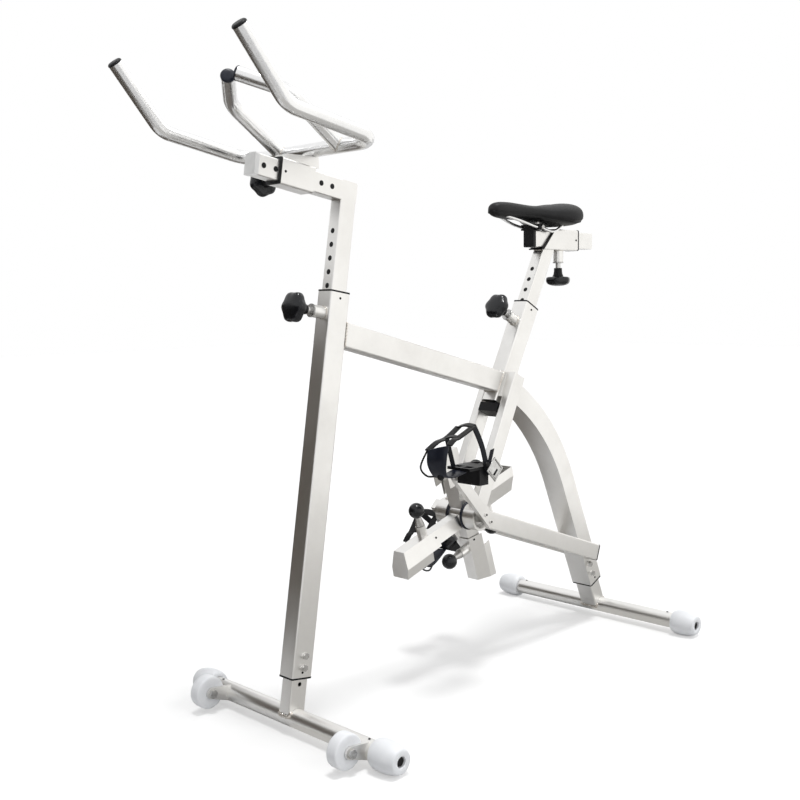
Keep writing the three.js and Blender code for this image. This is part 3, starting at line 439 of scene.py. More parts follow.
def as_mesh(name, cells):
    """A mesh from a bmesh, with all its faces turned outwards."""
    bmesh.ops.recalc_face_normals(cells, faces=cells.faces)
    mesh = bpy.data.meshes.new(name)
    cells.to_mesh(mesh)
    cells.free()
    return mesh


def faces_like(face):
    """A key shared by all faces of a node that look the same way."""
    return tuple(round(c, 2) for c in face.normal)


def smooth_copy(node, material, sharp=SHARP):
    """A merged copy of a CAD node. Faces under the sharp angle are shaded as one, and the way
    that most area looks counts most, so a flat side stays flat between its rounded corners."""
    mesh = frame["nodes"][node].data.copy()
    cells = bmesh.new()
    cells.from_mesh(mesh)
    bmesh.ops.remove_doubles(cells, verts=cells.verts, dist=0.01 * MM)
    bmesh.ops.dissolve_limit(
        cells, angle_limit=radians(0.3), verts=cells.verts, edges=cells.edges,
        use_dissolve_boundaries=False,
    )
    bmesh.ops.triangulate(cells, faces=[f for f in cells.faces if len(f.verts) > 4])
    cells.normal_update()
    area = {}  # in square centimetres, for each way that faces look
    for face in cells.faces:
        area[faces_like(face)] = area.get(faces_like(face), 0) + face.calc_area() * 1e4
    limit = cos(radians(sharp))
    normals = []
    for face in cells.faces:
        for corner in face.loops:
            near = [f for f in corner.vert.link_faces if f.normal.dot(face.normal) > limit]
            total = sum((f.normal * area[faces_like(f)] ** 2 for f in near), Vector())
            normals.append(total.normalized() if total.length > 1e-12 else face.normal.copy())
    cells.to_mesh(mesh)
    cells.free()
    mesh.shade_smooth()
    mesh.normals_split_custom_set(normals)
    return settle(linked(node + "_skin", mesh), BODY[node], material, node)


TUBES = (
    "front_base_tube rear_base_tube front_leg post_sleeve main_beam seat_sleeve arch_tube rear_leg "
    "hanger_left hanger_right lower_arm_left lower_arm_right stem_post stem_sleeve seat_post "
    "slider_tube crank_left crank_right crank_axle blade_1 blade_2 blade_3 blade_4"
).split()
for node in TUBES:
    smooth_copy(node, STEEL, BLADE_SHARP if node.startswith("blade") else SHARP)
LININGS = (
    "post_lining_upper post_lining_lower seat_lining arch_lining stem_lining slider_lining_front "
    "slider_lining_back cross_block saddle_clamp pedal_left pedal_right"
).split()
for node in LININGS:
    smooth_copy(node, BLACK)
smooth_copy("stem_cap", CAP_WHITE)
for side, way in SIDES:
    smooth_copy(f"wheel_bolt_{side}", BOLT, BOLT_SHARP)
print(len(TUBES), "steel pieces,", len(LININGS), "plastic ones")

# %% [markdown]
# ## Bent tubes
#
# The handlebar and the saddle's wire are round bars bent along a path. Geometry Nodes suit
# this: straight lines become a curve, each corner is rounded by its own radius, and a circle is
# carried along it. The lines hold the bend radius of each corner as an attribute.

# %% A tree that turns lines into a bent tube


def geometry_tree(name, inputs):
    """An empty modifier tree with one geometry in, one out, and named inputs."""
    tree = bpy.data.node_groups.new(name, "GeometryNodeTree")
    tree.interface.new_socket("Geometry", in_out="INPUT", socket_type="NodeSocketGeometry")
    for label, kind in inputs:
        tree.interface.new_socket(label, in_out="INPUT", socket_type="NodeSocket" + kind)
    tree.interface.new_socket("Geometry", in_out="OUTPUT", socket_type="NodeSocketGeometry")
    return tree, tree.nodes.new("NodeGroupInput"), tree.nodes.new("NodeGroupOutput")


def finish_tree(tree, entry, last, output, exit_node):
    """Every tree ends the same way: real mesh instead of instances, then the finish."""
    real = tree.nodes.new("GeometryNodeRealizeInstances")
    paint = tree.nodes.new("GeometryNodeSetMaterial")
    link_nodes(tree, [
        (last, output, real, "Geometry"),
        (real, "Geometry", paint, "Geometry"),
        (entry, "Material", paint, "Material"),
        (paint, "Geometry", exit_node, "Geometry"),
    ])


def baked(source):
    """What an object's modifiers make, as a plain mesh. The object itself goes."""
    seen = source.evaluated_get(bpy.context.evaluated_depsgraph_get())
    made = bpy.data.meshes.new_from_object(seen)
    bpy.data.objects.remove(source)
    return made


def run_tree(name, mesh, tree, values):
    """Runs a tree on a mesh and keeps the result."""
    source = linked(name + "_source", mesh)
    modifier = source.modifiers.new("tree", "NODES")
    modifier.node_group = tree
    sockets = {s.name: s.identifier for s in tree.interface.items_tree if s.in_out == "INPUT"}
    for label, value in values.items():
        modifier[sockets[label]] = value
    return linked(name, baked(source))


pipe, pipe_in, pipe_out = geometry_tree("bent_tube", [
    ("Radius", "Float"), ("Sides", "Int"), ("Bend Steps", "Int"), ("Material", "Material"),
])
to_curve = pipe.nodes.new("GeometryNodeMeshToCurve")
bend = set_inputs(pipe.nodes.new("GeometryNodeInputNamedAttribute"), Name="bend")
rounded = pipe.nodes.new("GeometryNodeFilletCurve")
rounded.mode = "POLY"
section = pipe.nodes.new("GeometryNodeCurvePrimitiveCircle")
carried = set_inputs(pipe.nodes.new("GeometryNodeCurveToMesh"), Fill_Caps=True)
link_nodes(pipe, [
    (pipe_in, "Geometry", to_curve, "Mesh"),
    (to_curve, "Curve", rounded, "Curve"),
    (bend, "Attribute", rounded, "Radius"),
    (pipe_in, "Bend Steps", rounded, "Count"),
    (pipe_in, "Sides", section, "Resolution"),
    (pipe_in, "Radius", section, "Radius"),
    (rounded, "Curve", carried, "Curve"),
    (section, "Curve", carried, "Profile Curve"),
])
finish_tree(pipe, pipe_in, carried, "Mesh", pipe_out)


def path_mesh(name, paths, bends, closed=False):
    """Lines through places in metres, each place with its bend radius."""
    places = [p for path in paths for p in path]
    edges, start = [], 0
    for path in paths:
        edges += [(start + i, start + i + 1) for i in range(len(path) - 1)]
        if closed:
            edges.append((start + len(path) - 1, start))
        start += len(path)
    mesh = bpy.data.meshes.new(name)
    mesh.from_pydata(places, edges, [])
    values = mesh.attributes.new("bend", "FLOAT", "POINT")
    values.data.foreach_set("value", bends * (len(places) // len(bends)))
    return mesh


def bent_tube(name, paths, bends, radius, material, sides=32, steps=12):
    """Round bars along paths in metres, one bend radius for each place of a path."""
    inputs = {"Radius": radius, "Sides": sides, "Bend Steps": steps, "Material": material}
    obj = run_tree(name, path_mesh(name, paths, bends), pipe, inputs)
    joined = bmesh.new()
    joined.from_mesh(obj.data)
    bmesh.ops.remove_doubles(joined, verts=joined.verts, dist=0.001 * MM)
    obj.data = shaded(as_mesh(name, joined), 50)
    return obj


# %% Handlebar
BAR_RADIUS = 13.5 * MM
LOOP_BENDS, ARM_BEND = (55 * MM, 48 * MM), 55 * MM


def flipped(place):
    """The same place on the other side of the bike."""
    return (-place[0], place[1], place[2])


def on(matrix, places):
    return [matrix @ Vector(p) for p in places]


half_bar = [(186, -387, 220.5), (186, -294, 109.5), (186, -87, 72.5)]
whole_bar = half_bar + [flipped(p) for p in reversed(half_bar)]
bends = [0, *LOOP_BENDS, *reversed(LOOP_BENDS), 0]
main_bar = bent_tube(
    "handlebar_loop", [on(on_bar, whole_bar)], bends, BAR_RADIUS, STEEL_BAR, steps=16
)
settle(main_bar, "bars", STEEL_BAR, "handlebar")
arm = [(83.5, -87, 72.5), (86.5, -206, 156.5), (14.5, -263.5, 189.5)]
arms = [on(on_bar, arm), on(on_bar, [flipped(p) for p in arm])]
inner_bars = bent_tube("handlebar_arms", arms, [0, ARM_BEND, 0], BAR_RADIUS, STEEL_BAR)
settle(inner_bars, "bars", STEEL_BAR)
print("handlebar", len(main_bar.data.polygons), "faces")

# %% [markdown]
# ## Turned pieces
#
# Wheels, rubber feet, pins and caps are round, so each is one outline that is spun about its
# axis. The outline carries the small roundings and grooves that a plain cylinder lacks.

# %% Spin an outline


def join_rings(cells, rings, sides):
    """Faces between closed rings of corners. A ring of one corner is a tip."""
    for low, high in zip(rings, rings[1:]):
        for i in range(sides):
            a, b = low[i % len(low)], low[(i + 1) % len(low)]
            c, d = high[(i + 1) % len(high)], high[i % len(high)]
            corners = list(dict.fromkeys((a, b, c, d)))
            if len(corners) > 2:
                cells.faces.new(corners)


def spun(name, outline, matrix, sides=48, sharp=38, wave=None):
    """Spins (radius, height) points about local z. A wave can change the radius on the way."""
    cells = bmesh.new()
    rings = []
    for radius, height in outline:
        if radius == 0:
            rings.append([cells.verts.new(matrix @ Vector((0, 0, height)))])
            continue
        ring = []
        for i in range(sides):
            turn = 2 * pi * i / sides
            reach = radius + (wave(turn, radius, height) if wave else 0)
            spot = Vector((reach * cos(turn), reach * sin(turn), height))
            ring.append(cells.verts.new(matrix @ spot))
        rings.append(ring)
    join_rings(cells, rings, sides)
    return linked(name, shaded(as_mesh(name, cells), sharp))


def at(matrix, place, way):
    """A matrix at a place in a tube's own frame, whose local z points along way."""
    turn = Vector(way).to_track_quat("Z", "Y").to_matrix().to_4x4()
    return matrix @ Matrix.Translation(place) @ turn


# %% Caps of the handlebar
CAPS = [("horn", half_bar[0], half_bar[1]), ("arm", arm[2], arm[1])]
cap_outline = [
    (0, 0.2), (13.8, 0.2), (13.9, 1.4), (13.2, 3.2), (11.6, 4.6), (7.5, 5.2), (0, 5.3),
]
for kind, tip, behind in CAPS:
    for side, way in SIDES:
        end, start = (Vector(p if way > 0 else flipped(p)) for p in (tip, behind))
        cap = spun(f"{kind}_plug_{side}", cap_outline, at(on_bar, end, end - start))
        settle(cap, "bars", BLACK if kind == "horn" else NAVY, f"{kind}_cap_{side}")
print("4 end plugs")

# %% [markdown]
# ## Feet and wheels
#
# Four soft rubber feet cover the ends of the two foot tubes. They are a little thicker than the
# tube sits high, so each is pressed flat where it stands. The two wheels let one person tip the
# bike forwards and roll it, so they hang just clear of the floor.

# %% Rubber feet
FOOT_START, FOOT_END, FOOT_HOLE = 241, 302, 288
foot_outline = [
    (19.4, FOOT_START), (24.6, FOOT_START), (25.8, 241.6), (26.6, 243.4), (28.4, 247),
    (29.5, 252), (29.8, 262), (29.5, 272), (28.6, 280), (26.8, 288), (24.4, 296), (23.2, 299.6),
    (22.2, 301.3), (20.6, FOOT_END), (11.6, FOOT_END), (10.6, 301.5), (10.2, 300.4),
    (10.2, FOOT_HOLE), (0, FOOT_HOLE),
]
plug_outline = [(0, 298.4), (8.6, 298.4), (9.7, 297.4), (9.7, 287), (0, 287)]
for end, back in (("front", 0), ("rear", REAR_BACK)):
    for side, way in SIDES:
        tube_axis = at(on_bike, (0, back, AXIS_UP), (way, 0, 0))
        foot = spun(f"{end}_rubber_{side}", foot_outline, tube_axis, 64)
        for corner in foot.data.vertices:
            corner.co.z = max(corner.co.z, 0)
        settle(foot, "frame", PALE, f"{end}_foot_{side}")
        settle(spun(f"{end}_rubber_bolt_{side}", plug_outline, tube_axis, 6), "frame", BLACK)
print("4 rubber feet, each", FOOT_END - FOOT_START, "mm long")

# %% Transport wheels
HALF_TREAD = 13
half_wheel = [(33, 9), (32.6, 11), (31.2, 12.4), (29, HALF_TREAD), (11.2, HALF_TREAD),
              (10.5, 12.6), (5.6, 12.6)]
wheel_outline = [(r, -h) for r, h in half_wheel[::-1]] + half_wheel
for side, way in SIDES:
    low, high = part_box(f"transport_wheel_{side}")
    middle = (low + high) / 2
    share = (high.x - low.x) / (2 * HALF_TREAD * MM)
    outline = [(r, h * share) for r, h in wheel_outline + wheel_outline[:1]]
    spot = Matrix.Translation(middle) @ Matrix.Scale(MM, 4)
    wheel = spun(f"wheel_{side}_tread", outline, at(spot, (0, 0, 0), (1, 0, 0)), 64)
    settle(wheel, f"wheel_{side}", PALE, f"transport_wheel_{side}")
    print("wheel", side, "at", [round(v, 3) for v in middle])

# %% [markdown]
# ## Spring pins
#
# Four spring pins lock the sliding tubes. The rider pulls the black knob, the steel shaft leaves
# its hole, and a spring inside the barrel pushes it back. The knob has six shallow lobes for wet
# fingers and a domed face, so its outline is spun with a wave that dies out towards the middle.

# %% Knobs, collars and shafts
LOBES, LOBE_DEPTH = 6, 1.5
knob_outline = [
    (0, 63.4), (13, 63.4), (15, 64), (24, 64.6), (27.6, 66), (29.2, 68.6), (29.6, 72), (29.2, 76),
    (27.6, 79.6), (24.6, 82.4), (20, 84.5), (14.4, 85.9), (9, 86.6), (4, 86.9), (0, 86.9),
]
collar_outline = [
    (0, 43), (9.2, 43), (9.8, 43.8), (10.2, 52), (11.2, 58), (13.5, 63), (13.5, 64), (0, 64),
]
shaft_outline = [(0, -4), (4.4, -4), (5, -3), (5, 28), (6.4, 28), (6.4, 43.5), (0, 43.5)]
ring_outline = [(0, 28.1), (12.9, 28.1), (13.5, 28.7), (13.5, 30.5), (12.9, 31.1), (0, 31.1)]


def lobes(turn, radius, height):
    """Six waves round the knob, full at its rim and gone near its middle."""
    return LOBE_DEPTH * cos(LOBES * turn) * min(1, max(0, (radius - 12) / 14))


# What each pin locks, where it stands, and the body that its barrel is welded on
PINS = [
    ("post", at(on_post, (0, -25, 790.5), (0, -1, 0)), "frame"),
    ("stem", at(on_stem, (-20, 0, 129.5), (-1, 0, 0)), "bars"),
    ("seat", at(on_seat, (0, -25, 195), (0, -1, 0)), "frame"),
    ("slider", at(on_slider, (0, 44, -25), (0, 0, -1)), "seat_column"),
]
for kind, matrix, holder in PINS:
    body = f"{kind}_knob"
    knob = spun(f"{kind}_pin_knob", knob_outline, matrix, 72, 50, lobes)
    settle(knob, body, KNOB, f"{kind}_pin")
    settle(spun(f"{kind}_pin_collar", collar_outline, matrix, 40), body, BLACK)
    settle(spun(f"{kind}_pin_shaft", shaft_outline, matrix, 32), body, BOLT)
    settle(spun(f"{kind}_pin_ring", ring_outline, matrix, 48), body, BOLT)
print(len(PINS), "spring pins")

# %% Ball pins of the paddles
BLADE_LEANS, BLADE_STARTS = (-107.5, -17.5, 72.5, 162.5), (109, 56, 56, 56)
BLADES = [(standing(*HUB, lean), start) for lean, start in zip(BLADE_LEANS, BLADE_STARTS)]
BALL, BALL_OUT = 17.2, 60
ball_turns = [pi / 20 * i - pi / 2 for i in range(21)]
ball_outline = [(BALL * cos(turn), BALL_OUT + BALL * sin(turn)) for turn in ball_turns]
ball_outline[0], ball_outline[-1] = (0, BALL_OUT - BALL), (0, BALL_OUT + BALL)
neck_outline = [(0, 24.4), (10, 24.4), (10.2, 25.4), (6.4, 42), (6, 46), (0, 46)]
stub_outline = [(0, -2), (3.5, -2), (3.5, 25), (0, 25)]
for i, (on_blade, start) in enumerate(BLADES, 1):
    matrix = at(on_blade, (0, 15, start + 27), (0, 1, 0))
    body = f"paddle_knob_{i}"
    settle(spun(f"ball_{i}", ball_outline, matrix, 40, 60), body, KNOB, f"blade_pin_{i}")
    settle(spun(f"ball_neck_{i}", neck_outline, matrix, 32), body, BOLT)
    settle(spun(f"ball_shaft_{i}", stub_outline, matrix, 20), body, BOLT)
print(len(BLADES), "ball pins")

# %% [markdown]
# ## Hub seals
#
# The axle turns in two bearings that live under water, so dark rubber rings close the gaps
# between the hub and the housings.

# %% Seals and end discs
SEAL_OUT, COVER_OUT = 20.7, 44.4
seal_outline = [
    (28.8, -3.6), (32, -3.4), (33, -2.4), (33.3, 0), (33, 2.4), (32, 3.4), (28.8, 3.6),
    (28.8, -3.6),
]
disc_outline = [
    (13, 0), (24.6, 0), (25.4, 0.6), (25.4, 1.6), (24.2, 2.4), (16, 2.8), (13, 2.4), (13, 0),
]
for side, way in SIDES:
    seal_at, cover_at = (at(on_hub, (way * x, 0, 0), (way, 0, 0)) for x in (SEAL_OUT, COVER_OUT))
    settle(spun(f"hub_seal_{side}", seal_outline, seal_at, 56), "cranks", NAVY)
    settle(spun(f"bearing_cover_{side}", disc_outline, cover_at, 56), "frame", BOLT)
print("2 seals and 2 bearing covers")

# %% [markdown]
# ## The saddle
#
# A wide gel saddle: a stiff shell with foam on top and a tight skin that is pulled under and
# sewn along its lower edge. It was moulded, so it has no loose cloth to simulate. Its form comes
# from measured cross-sections, joined by a smooth curve from nose to tail, with a crown on top
# and a shallow channel along the middle. A padded piece must be closed, so both ends are capped.

# %% Saddle pad
# back, half width, top, underside, and rise of the underside's middle, in mm from the slider
STATIONS = [
    (-213, 7, 66, 55, 0), (-206, 15, 75, 48, 0), (-189, 20, 80, 44, 0), (-157, 24, 81, 42, 0),
    (-120, 29, 79, 42, 0), (-82, 38, 77, 39, 3), (-47, 54, 78, 30, 8), (-17, 69, 82, 21, 14),
    (13, 78, 86, 15, 16), (40, 76, 88, 18, 14), (56, 64, 86, 29, 8), (64, 49, 80, 48, 0),
]
AROUND, BETWEEN = 72, 7
CROWN, UNDERSIDE = 2.35, 1.95  # how square each half is: 2 is an ellipse
CHANNEL_DEEP, CHANNEL_HALF = 3.2, 13


def through(values, t):
    """The smooth curve through four values, at t between the middle two."""
    a, b, c, d = values
    bend = 2 * a - 5 * b + 4 * c - d
    return 0.5 * (2 * b + (c - a) * t + bend * t * t + (3 * b - a - 3 * c + d) * t ** 3)


def smooth_between(rows, steps):
    """Values on a smooth curve through the rows, with so many steps between two rows."""
    made = []
    last = len(rows) - 1
    for i in range(last):
        near = [rows[min(max(i + k, 0), last)] for k in (-1, 0, 1, 2)]
        for step in range(steps):
            made.append(tuple(through(values, step / steps) for values in zip(*near)))
    made.append(tuple(rows[-1]))
    return made


def squared(value, power):
    """Bends a circle's coordinate towards a square's."""
    return (1 if value >= 0 else -1) * abs(value) ** (2 / power)


def saddle_point(row, turn):
    """A place on the skin. The upper half is a soft crown, the lower half is squarer."""
    back, half, top, under, rise = row
    upper = sin(turn) >= 0
    power = CROWN if upper else UNDERSIDE
    reach = squared(cos(turn), power)
    rim = (top + under) / 2
    height = rim + squared(sin(turn), power) * (top - rim)
    if upper:
        wide = max(0, (half - 30) / 48)
        sunk = max(0, 1 - (reach * half / CHANNEL_HALF) ** 2)
        height -= CHANNEL_DEEP * wide * sin(turn) ** 4 * sunk
    else:
        height += rise * (1 - reach ** 2)
    return Vector((reach * half, back, height))


rows = smooth_between(STATIONS, BETWEEN)
skin = bmesh.new()
rings = []
turns = [2 * pi * i / AROUND for i in range(AROUND)]
for row in rows:
    rings.append([skin.verts.new(on_slider @ saddle_point(row, turn)) for turn in turns])
tips = []
for (back, half, top, under, rise), push in ((rows[0], -2), (rows[-1], 2)):
    tips.append([skin.verts.new(on_slider @ Vector((0, back + push, (top + under) / 2)))])
join_rings(skin, [tips[0], *rings, tips[1]], AROUND)
saddle_mesh = as_mesh("saddle_pad", skin)
saddle_mesh.shade_smooth()
saddle = settle(linked("saddle_pad", saddle_mesh), "seat", SADDLE, "saddle")
print("saddle", len(saddle_mesh.polygons), "faces")

# %% Piping along the saddle's lower edge
PIPING_TURN = radians(-28)


def edge_line(turn, out):
    """A closed line round the skin at one height of its side, a little proud of it."""
    out = Vector((out, 0, 0))
    left = [on_slider @ (saddle_point(row, turn) + out) for row in rows[1:-1]]
    right = [on_slider @ (saddle_point(row, pi - turn) - out) for row in rows[1:-1]]
    return left + right[::-1]


def ring_tube(name, places, radius, material, sides=10):
    """A tube round a closed line."""
    values = {"Radius": radius, "Sides": sides, "Bend Steps": 1, "Material": material}
    mesh = path_mesh(name, [places], [0.0] * len(places), closed=True)
    obj = run_tree(name, mesh, pipe, values)
    obj.data.shade_smooth()
    return obj


piping = ring_tube("saddle_piping", edge_line(PIPING_TURN, 0.2), 1.5 * MM, SADDLE)
settle(piping, "seat", SADDLE)

# %% [markdown]
# ## Stitches, screws and other small things that repeat
#
# A stitch or a screw is drawn once and put at every point of a list. The point carries the way
# it faces, so one Geometry Nodes tree places them all: instances are made on the points and
# turned to face along the normal.

# %% A tree that puts a small turned piece on every point
studs, studs_in, studs_out = geometry_tree("studs", [
    ("Radius", "Float"), ("Height", "Float"), ("Dome", "Float"), ("Sides", "Int"),
    ("Material", "Material"),
])
stud = set_inputs(studs.nodes.new("GeometryNodeMeshCone"), Side_Segments=1)
way_to_face = studs.nodes.new("GeometryNodeInputNamedAttribute")
way_to_face.data_type = "FLOAT_VECTOR"
set_inputs(way_to_face, Name="facing")
turned = studs.nodes.new("FunctionNodeAlignRotationToVector")
spots = studs.nodes.new("GeometryNodeInstanceOnPoints")
link_nodes(studs, [
    (studs_in, "Radius", stud, "Radius Bottom"),
    (studs_in, "Dome", stud, "Radius Top"),
    (studs_in, "Height", stud, "Depth"),
    (studs_in, "Sides", stud, "Vertices"),
    (way_to_face, "Attribute", turned, "Vector"),
    (studs_in, "Geometry", spots, "Points"),
    (stud, "Mesh", spots, "Instance"),
    (turned, "Rotation", spots, "Rotation"),
])
finish_tree(studs, studs_in, spots, "Instances", studs_out)


# Radius, height and top radius in mm, and sides. The hole size is a thin black disc that paints the
# shade inside a hole.
SCREW, HEX_HEAD, HOLE_SHADE = (2.6, 1.2, 1.9, 20), (7.3, 5.6, 6.6, 6), (5.3, 0.2, 5.3, 20)
BLADE_SCREW, SOCKET = (2.6, 1.0, 2.0, 16), (2.9, 1.0, 2.6, 6)
CLAMP_HEAD, STITCH = (5.5, 4.5, 5.2, 6), (0.75, 0.5, 0.5, 8)


def put_studs(name, places, size, body, material):
    """Small pieces of one size at (place, way they face), given in metres."""
    mesh = bpy.data.meshes.new(name)
    mesh.from_pydata([p for p, way in places], [], [])
    ways = mesh.attributes.new("facing", "FLOAT_VECTOR", "POINT")
    ways.data.foreach_set("vector", [c for p, way in places for c in way])
    radius, height, dome = (length * MM for length in size[:3])
    values = {"Radius": radius, "Height": height, "Dome": dome, "Sides": size[3]}
    obj = run_tree(name, mesh, studs, {**values, "Material": material})
    shaded(obj.data, 40)
    settle(obj, body, material)


def studs_on(matrix, places):
    """(place, way) in metres from a tube's own frame."""
    turn = matrix.to_3x3() * (1 / MM)
    return [(matrix @ Vector(place), (turn @ Vector(way)).normalized()) for place, way in places]


def sideways(across, back, *heights):
    """Spots at some heights of a tube's left side and then its right one, facing outwards."""
    return [((way * across, back, up), (way, 0, 0)) for side, way in SIDES for up in heights]


def forwards(top, step, count):
    """A row of spots down a tube's front side."""
    return [((0, -20.05, top - step * i), (0, -1, 0)) for i in range(count)]


# %% Screws, bolt heads, and thin black discs that paint the shade in the hole mouths
tube_tops = [((x, back, 48), (0, 0, 1)) for x in (220.8, -220.8) for back in (0, REAR_BACK)]
lining_screws = (
    studs_on(on_post, sideways(20, 0, 822) + sideways(20, 0, 90)[:1])
    + studs_on(on_seat, sideways(20, 0, 235))
    + studs_on(on_arch, sideways(29, 0, 88))
    + studs_on(on_bike, tube_tops)
)
put_studs("frame_screws", lining_screws, SCREW, "frame", BLACK)
put_studs("stem_screws", studs_on(on_stem, sideways(20, 0, 166)), SCREW, "bars", BLACK)
put_studs("slider_screws", studs_on(on_slider, sideways(20, 92, 0)), SCREW, "seat_column", BLACK)
hex_heads = studs_on(on_post, sideways(22.6, 0, 100, 123))
hex_heads += studs_on(on_arch, sideways(31.6, -9, 108, 137))
put_studs("leg_bolt_heads", hex_heads, HEX_HEAD, "frame", BOLT)
# Thin black discs on the holes of the post, the stem and the seat tube: painted shade for the dark
# inside of each hole.
hole_shade_discs = studs_on(on_post, forwards(952.5, 27, 9))
hole_shade_discs += studs_on(on_stem, sideways(15.05, 0, *(45.5 + 28 * i for i in range(7))))
put_studs("post_hole_shade", hole_shade_discs, HOLE_SHADE, "stem", BLACK)
put_studs("seat_hole_shade", studs_on(on_seat, forwards(335, 28, 8)), HOLE_SHADE, "seat_column", BLACK)
for i, (on_blade, start) in enumerate(BLADES, 1):
    dots = [((way * 18.5, 1.4, start + 6.3), (way * 0.97, 0.24, 0)) for side, way in SIDES]
    put_studs(f"blade_screws_{i}", studs_on(on_blade, dots), BLADE_SCREW, f"paddle_{i}", BLACK)
crank_screws = []
for side, way in SIDES:
    pair = [((way * 77.4, 0, up), (way, 0, 0)) for up in (12.5, -12.5)]
    crank_screws += studs_on(standing(*HUB, CRANK_LEANS[side]), pair)
put_studs("crank_screw_sockets", crank_screws, SOCKET, "cranks", BLACK)
print("screws placed")

# %% Stitches beside the piping
STITCH_TURN = radians(-12)
stitches = []
for turn, way in ((STITCH_TURN, 1), (pi - STITCH_TURN, -1)):
    for row in smooth_between(STATIONS, 22)[6:-6:2]:
        stitches.append((on_slider @ saddle_point(row, turn), Vector((way, 0, 0.1))))
put_studs("saddle_stitches", stitches, STITCH, "seat", SADDLE)
print(len(stitches), "stitches")

# %% [markdown]
# ## The saddle's wire and its clamp
#
# One bent steel wire carries the saddle. It runs from the tail past the clamp to the nose and
# back. Its path is a smooth curve through a few measured places.

# %% Wire
WIRE = [
    (8, -177, 50), (17, -142, 42), (22, -104, 33), (22, -70, 27), (24, -48, 24), (26, -20, 18.5),
    (30, 0, 23), (38, 30, 46),
]


def smooth_wire(name, places, matrix, radius, material, sides):
    """A wire whose path is a smooth curve through a few places."""
    line = on(matrix, smooth_between(places, 8))
    return bent_tube(name, [line], [0.0] * len(line), radius * MM, material, sides, 1)


whole_wire = WIRE[::-1] + [flipped(p) for p in WIRE]
wire = smooth_wire("saddle_wire", whole_wire, on_slider, 3.5, STEEL_BAR, 18)
settle(wire, "seat", STEEL_BAR, "saddle_rails")
clamp_bolts = studs_on(on_slider, [((x, -58, 34.4), (0, 0, 1)) for x in (-14, 14)])
clamp_bolts += studs_on(on_slider, sideways(27.2, -58, 27))
put_studs("clamp_bolts", clamp_bolts, CLAMP_HEAD, "seat", BOLT)
print("wire through", len(whole_wire), "places")

# %% [markdown]
# ## Toe cages
#
# A cage of soft black bars and straps keeps a bare foot on each pedal. The bars are flat, so
# each is a ribbon between two edges that curve smoothly. A Solidify modifier gives it its
# thickness and a Bevel rounds its corners; both are applied at once.

# %% Ribbon between two edges


def ribbon(name, pairs, thick, matrix, material, body, across_steps=3, bulge=0):
    """A flat bar. Each pair holds the two edges' places there, in the pedal's millimetres."""
    cells = bmesh.new()
    grid = []
    for row in smooth_between([(*a, *b) for a, b in pairs], 6):
        a, b = Vector(row[:3]), Vector(row[3:])
        line = []
        for i in range(across_steps + 1):
            t = i / across_steps
            crown = bulge * 4 * t * (1 - t)
            place = a.lerp(b, t) + Vector((0, -crown, crown * 0.4))
            line.append(cells.verts.new(matrix @ place))
        grid.append(line)
    for low, high in zip(grid, grid[1:]):
        for i in range(across_steps):
            cells.faces.new((low[i], low[i + 1], high[i + 1], high[i]))
    source = linked(name + "_flat", as_mesh(name, cells))
    wall = source.modifiers.new("wall", "SOLIDIFY")
    wall.thickness = thick * MM
    wall.offset = 0
    wall.use_even_offset = True
    soft = source.modifiers.new("soft", "BEVEL")
    soft.width = thick * 0.3 * MM
    soft.segments = 2
    soft.limit_method = "ANGLE"
    soft.angle_limit = radians(50)
    return settle(linked(name, shaded(baked(source), 45)), body, material)


# %% Both cages
TOE_IN, TOE_OUT = (100, -123, 73), (146, -109, 86)
RIDGE_IN, RIDGE_OUT = (104, -69, 94), (144, -79, 98)
CROWN_IN, CROWN_OUT = (100, -27, 113), (148, -34, 118)
STRAP_OUT, STRAP_FOOT = (150, 3, 33), (150, 13, 12)
PANEL = [
    (TOE_IN, TOE_OUT), ((100, -124, 45), (143, -113, 56)), ((100, -106, 19), (138, -108, 25)),
    ((99, -84, 15), (137, -86, 17)), ((96, -44, 22), (136, -44, 22)),
]
# name, places of the middle line, way across, half width, thickness and material
BARS = [
    ("inner_rail", [TOE_IN, (104, -99, 88), RIDGE_IN, CROWN_IN], (1, 0, 0), 8, 3.4, BLACK),
    ("outer_rail", [TOE_OUT, (144, -93, 95), RIDGE_OUT, CROWN_OUT], (1, 0, 0), 8, 3.4, BLACK),
    ("ridge", [RIDGE_IN, (124, -74, 99), RIDGE_OUT], (0, 1, 0.3), 6.5, 3.4, BLACK),
    ("crown", [CROWN_IN, (124, -30, 119), CROWN_OUT], (0, 1, 0.3), 7.5, 3.4, BLACK),
    ("strap_outer", [CROWN_OUT, (151, -14, 78), STRAP_OUT, STRAP_FOOT],
     (0, 0.95, 0.3), 7, 2.6, WEB),
    ("strap_end", [STRAP_FOOT, (152, 10, 35), (153, 15, 53), (153, 19, 65)],
     (0, 0.95, 0.2), 6.5, 2.2, WEB),
    ("strap_inner", [RIDGE_IN, (101, -56, 62), (97, -40, 26)], (0, 1, 0.2), 6, 2.4, WEB),
]
knot_outline = [(0, -5.5), (5.4, -5), (7.4, -3), (8, 0), (7.4, 3), (5.4, 5), (0, 5.5)]
KNOTS = (("strap", STRAP_OUT, (0.2, 0.9, 0.5)), ("sole", (120, -106, 19), (1, 0, 0)))
LOOP = [TOE_IN, (98, -121, 74), (91, -135, 40), (93, -118, 19), (101, -95, 17), (103, -92, 15)]
BUCKLE = [(156, 47, 22), (156, 23, 46), (156, -1, 22), (156, 23, -2)]
BUCKLE_PLATE = [
    ((156, 1, 24), (156, 25, 0)), ((156.6, 12, 35), (156.6, 36, 11)),
    ((156, 21, 44), (156, 45, 20)),
]
BUCKLE_SLOT = [((158, 17, 12), (158, 20, 9)), ((158, 28, 23), (158, 31, 20))]


def widened(places, way, half):
    """Pairs of edges on both sides of a middle line."""
    return [
        [tuple(p + end * w * half for p, w in zip(place, way)) for end in (-1, 1)]
        for place in places
    ]


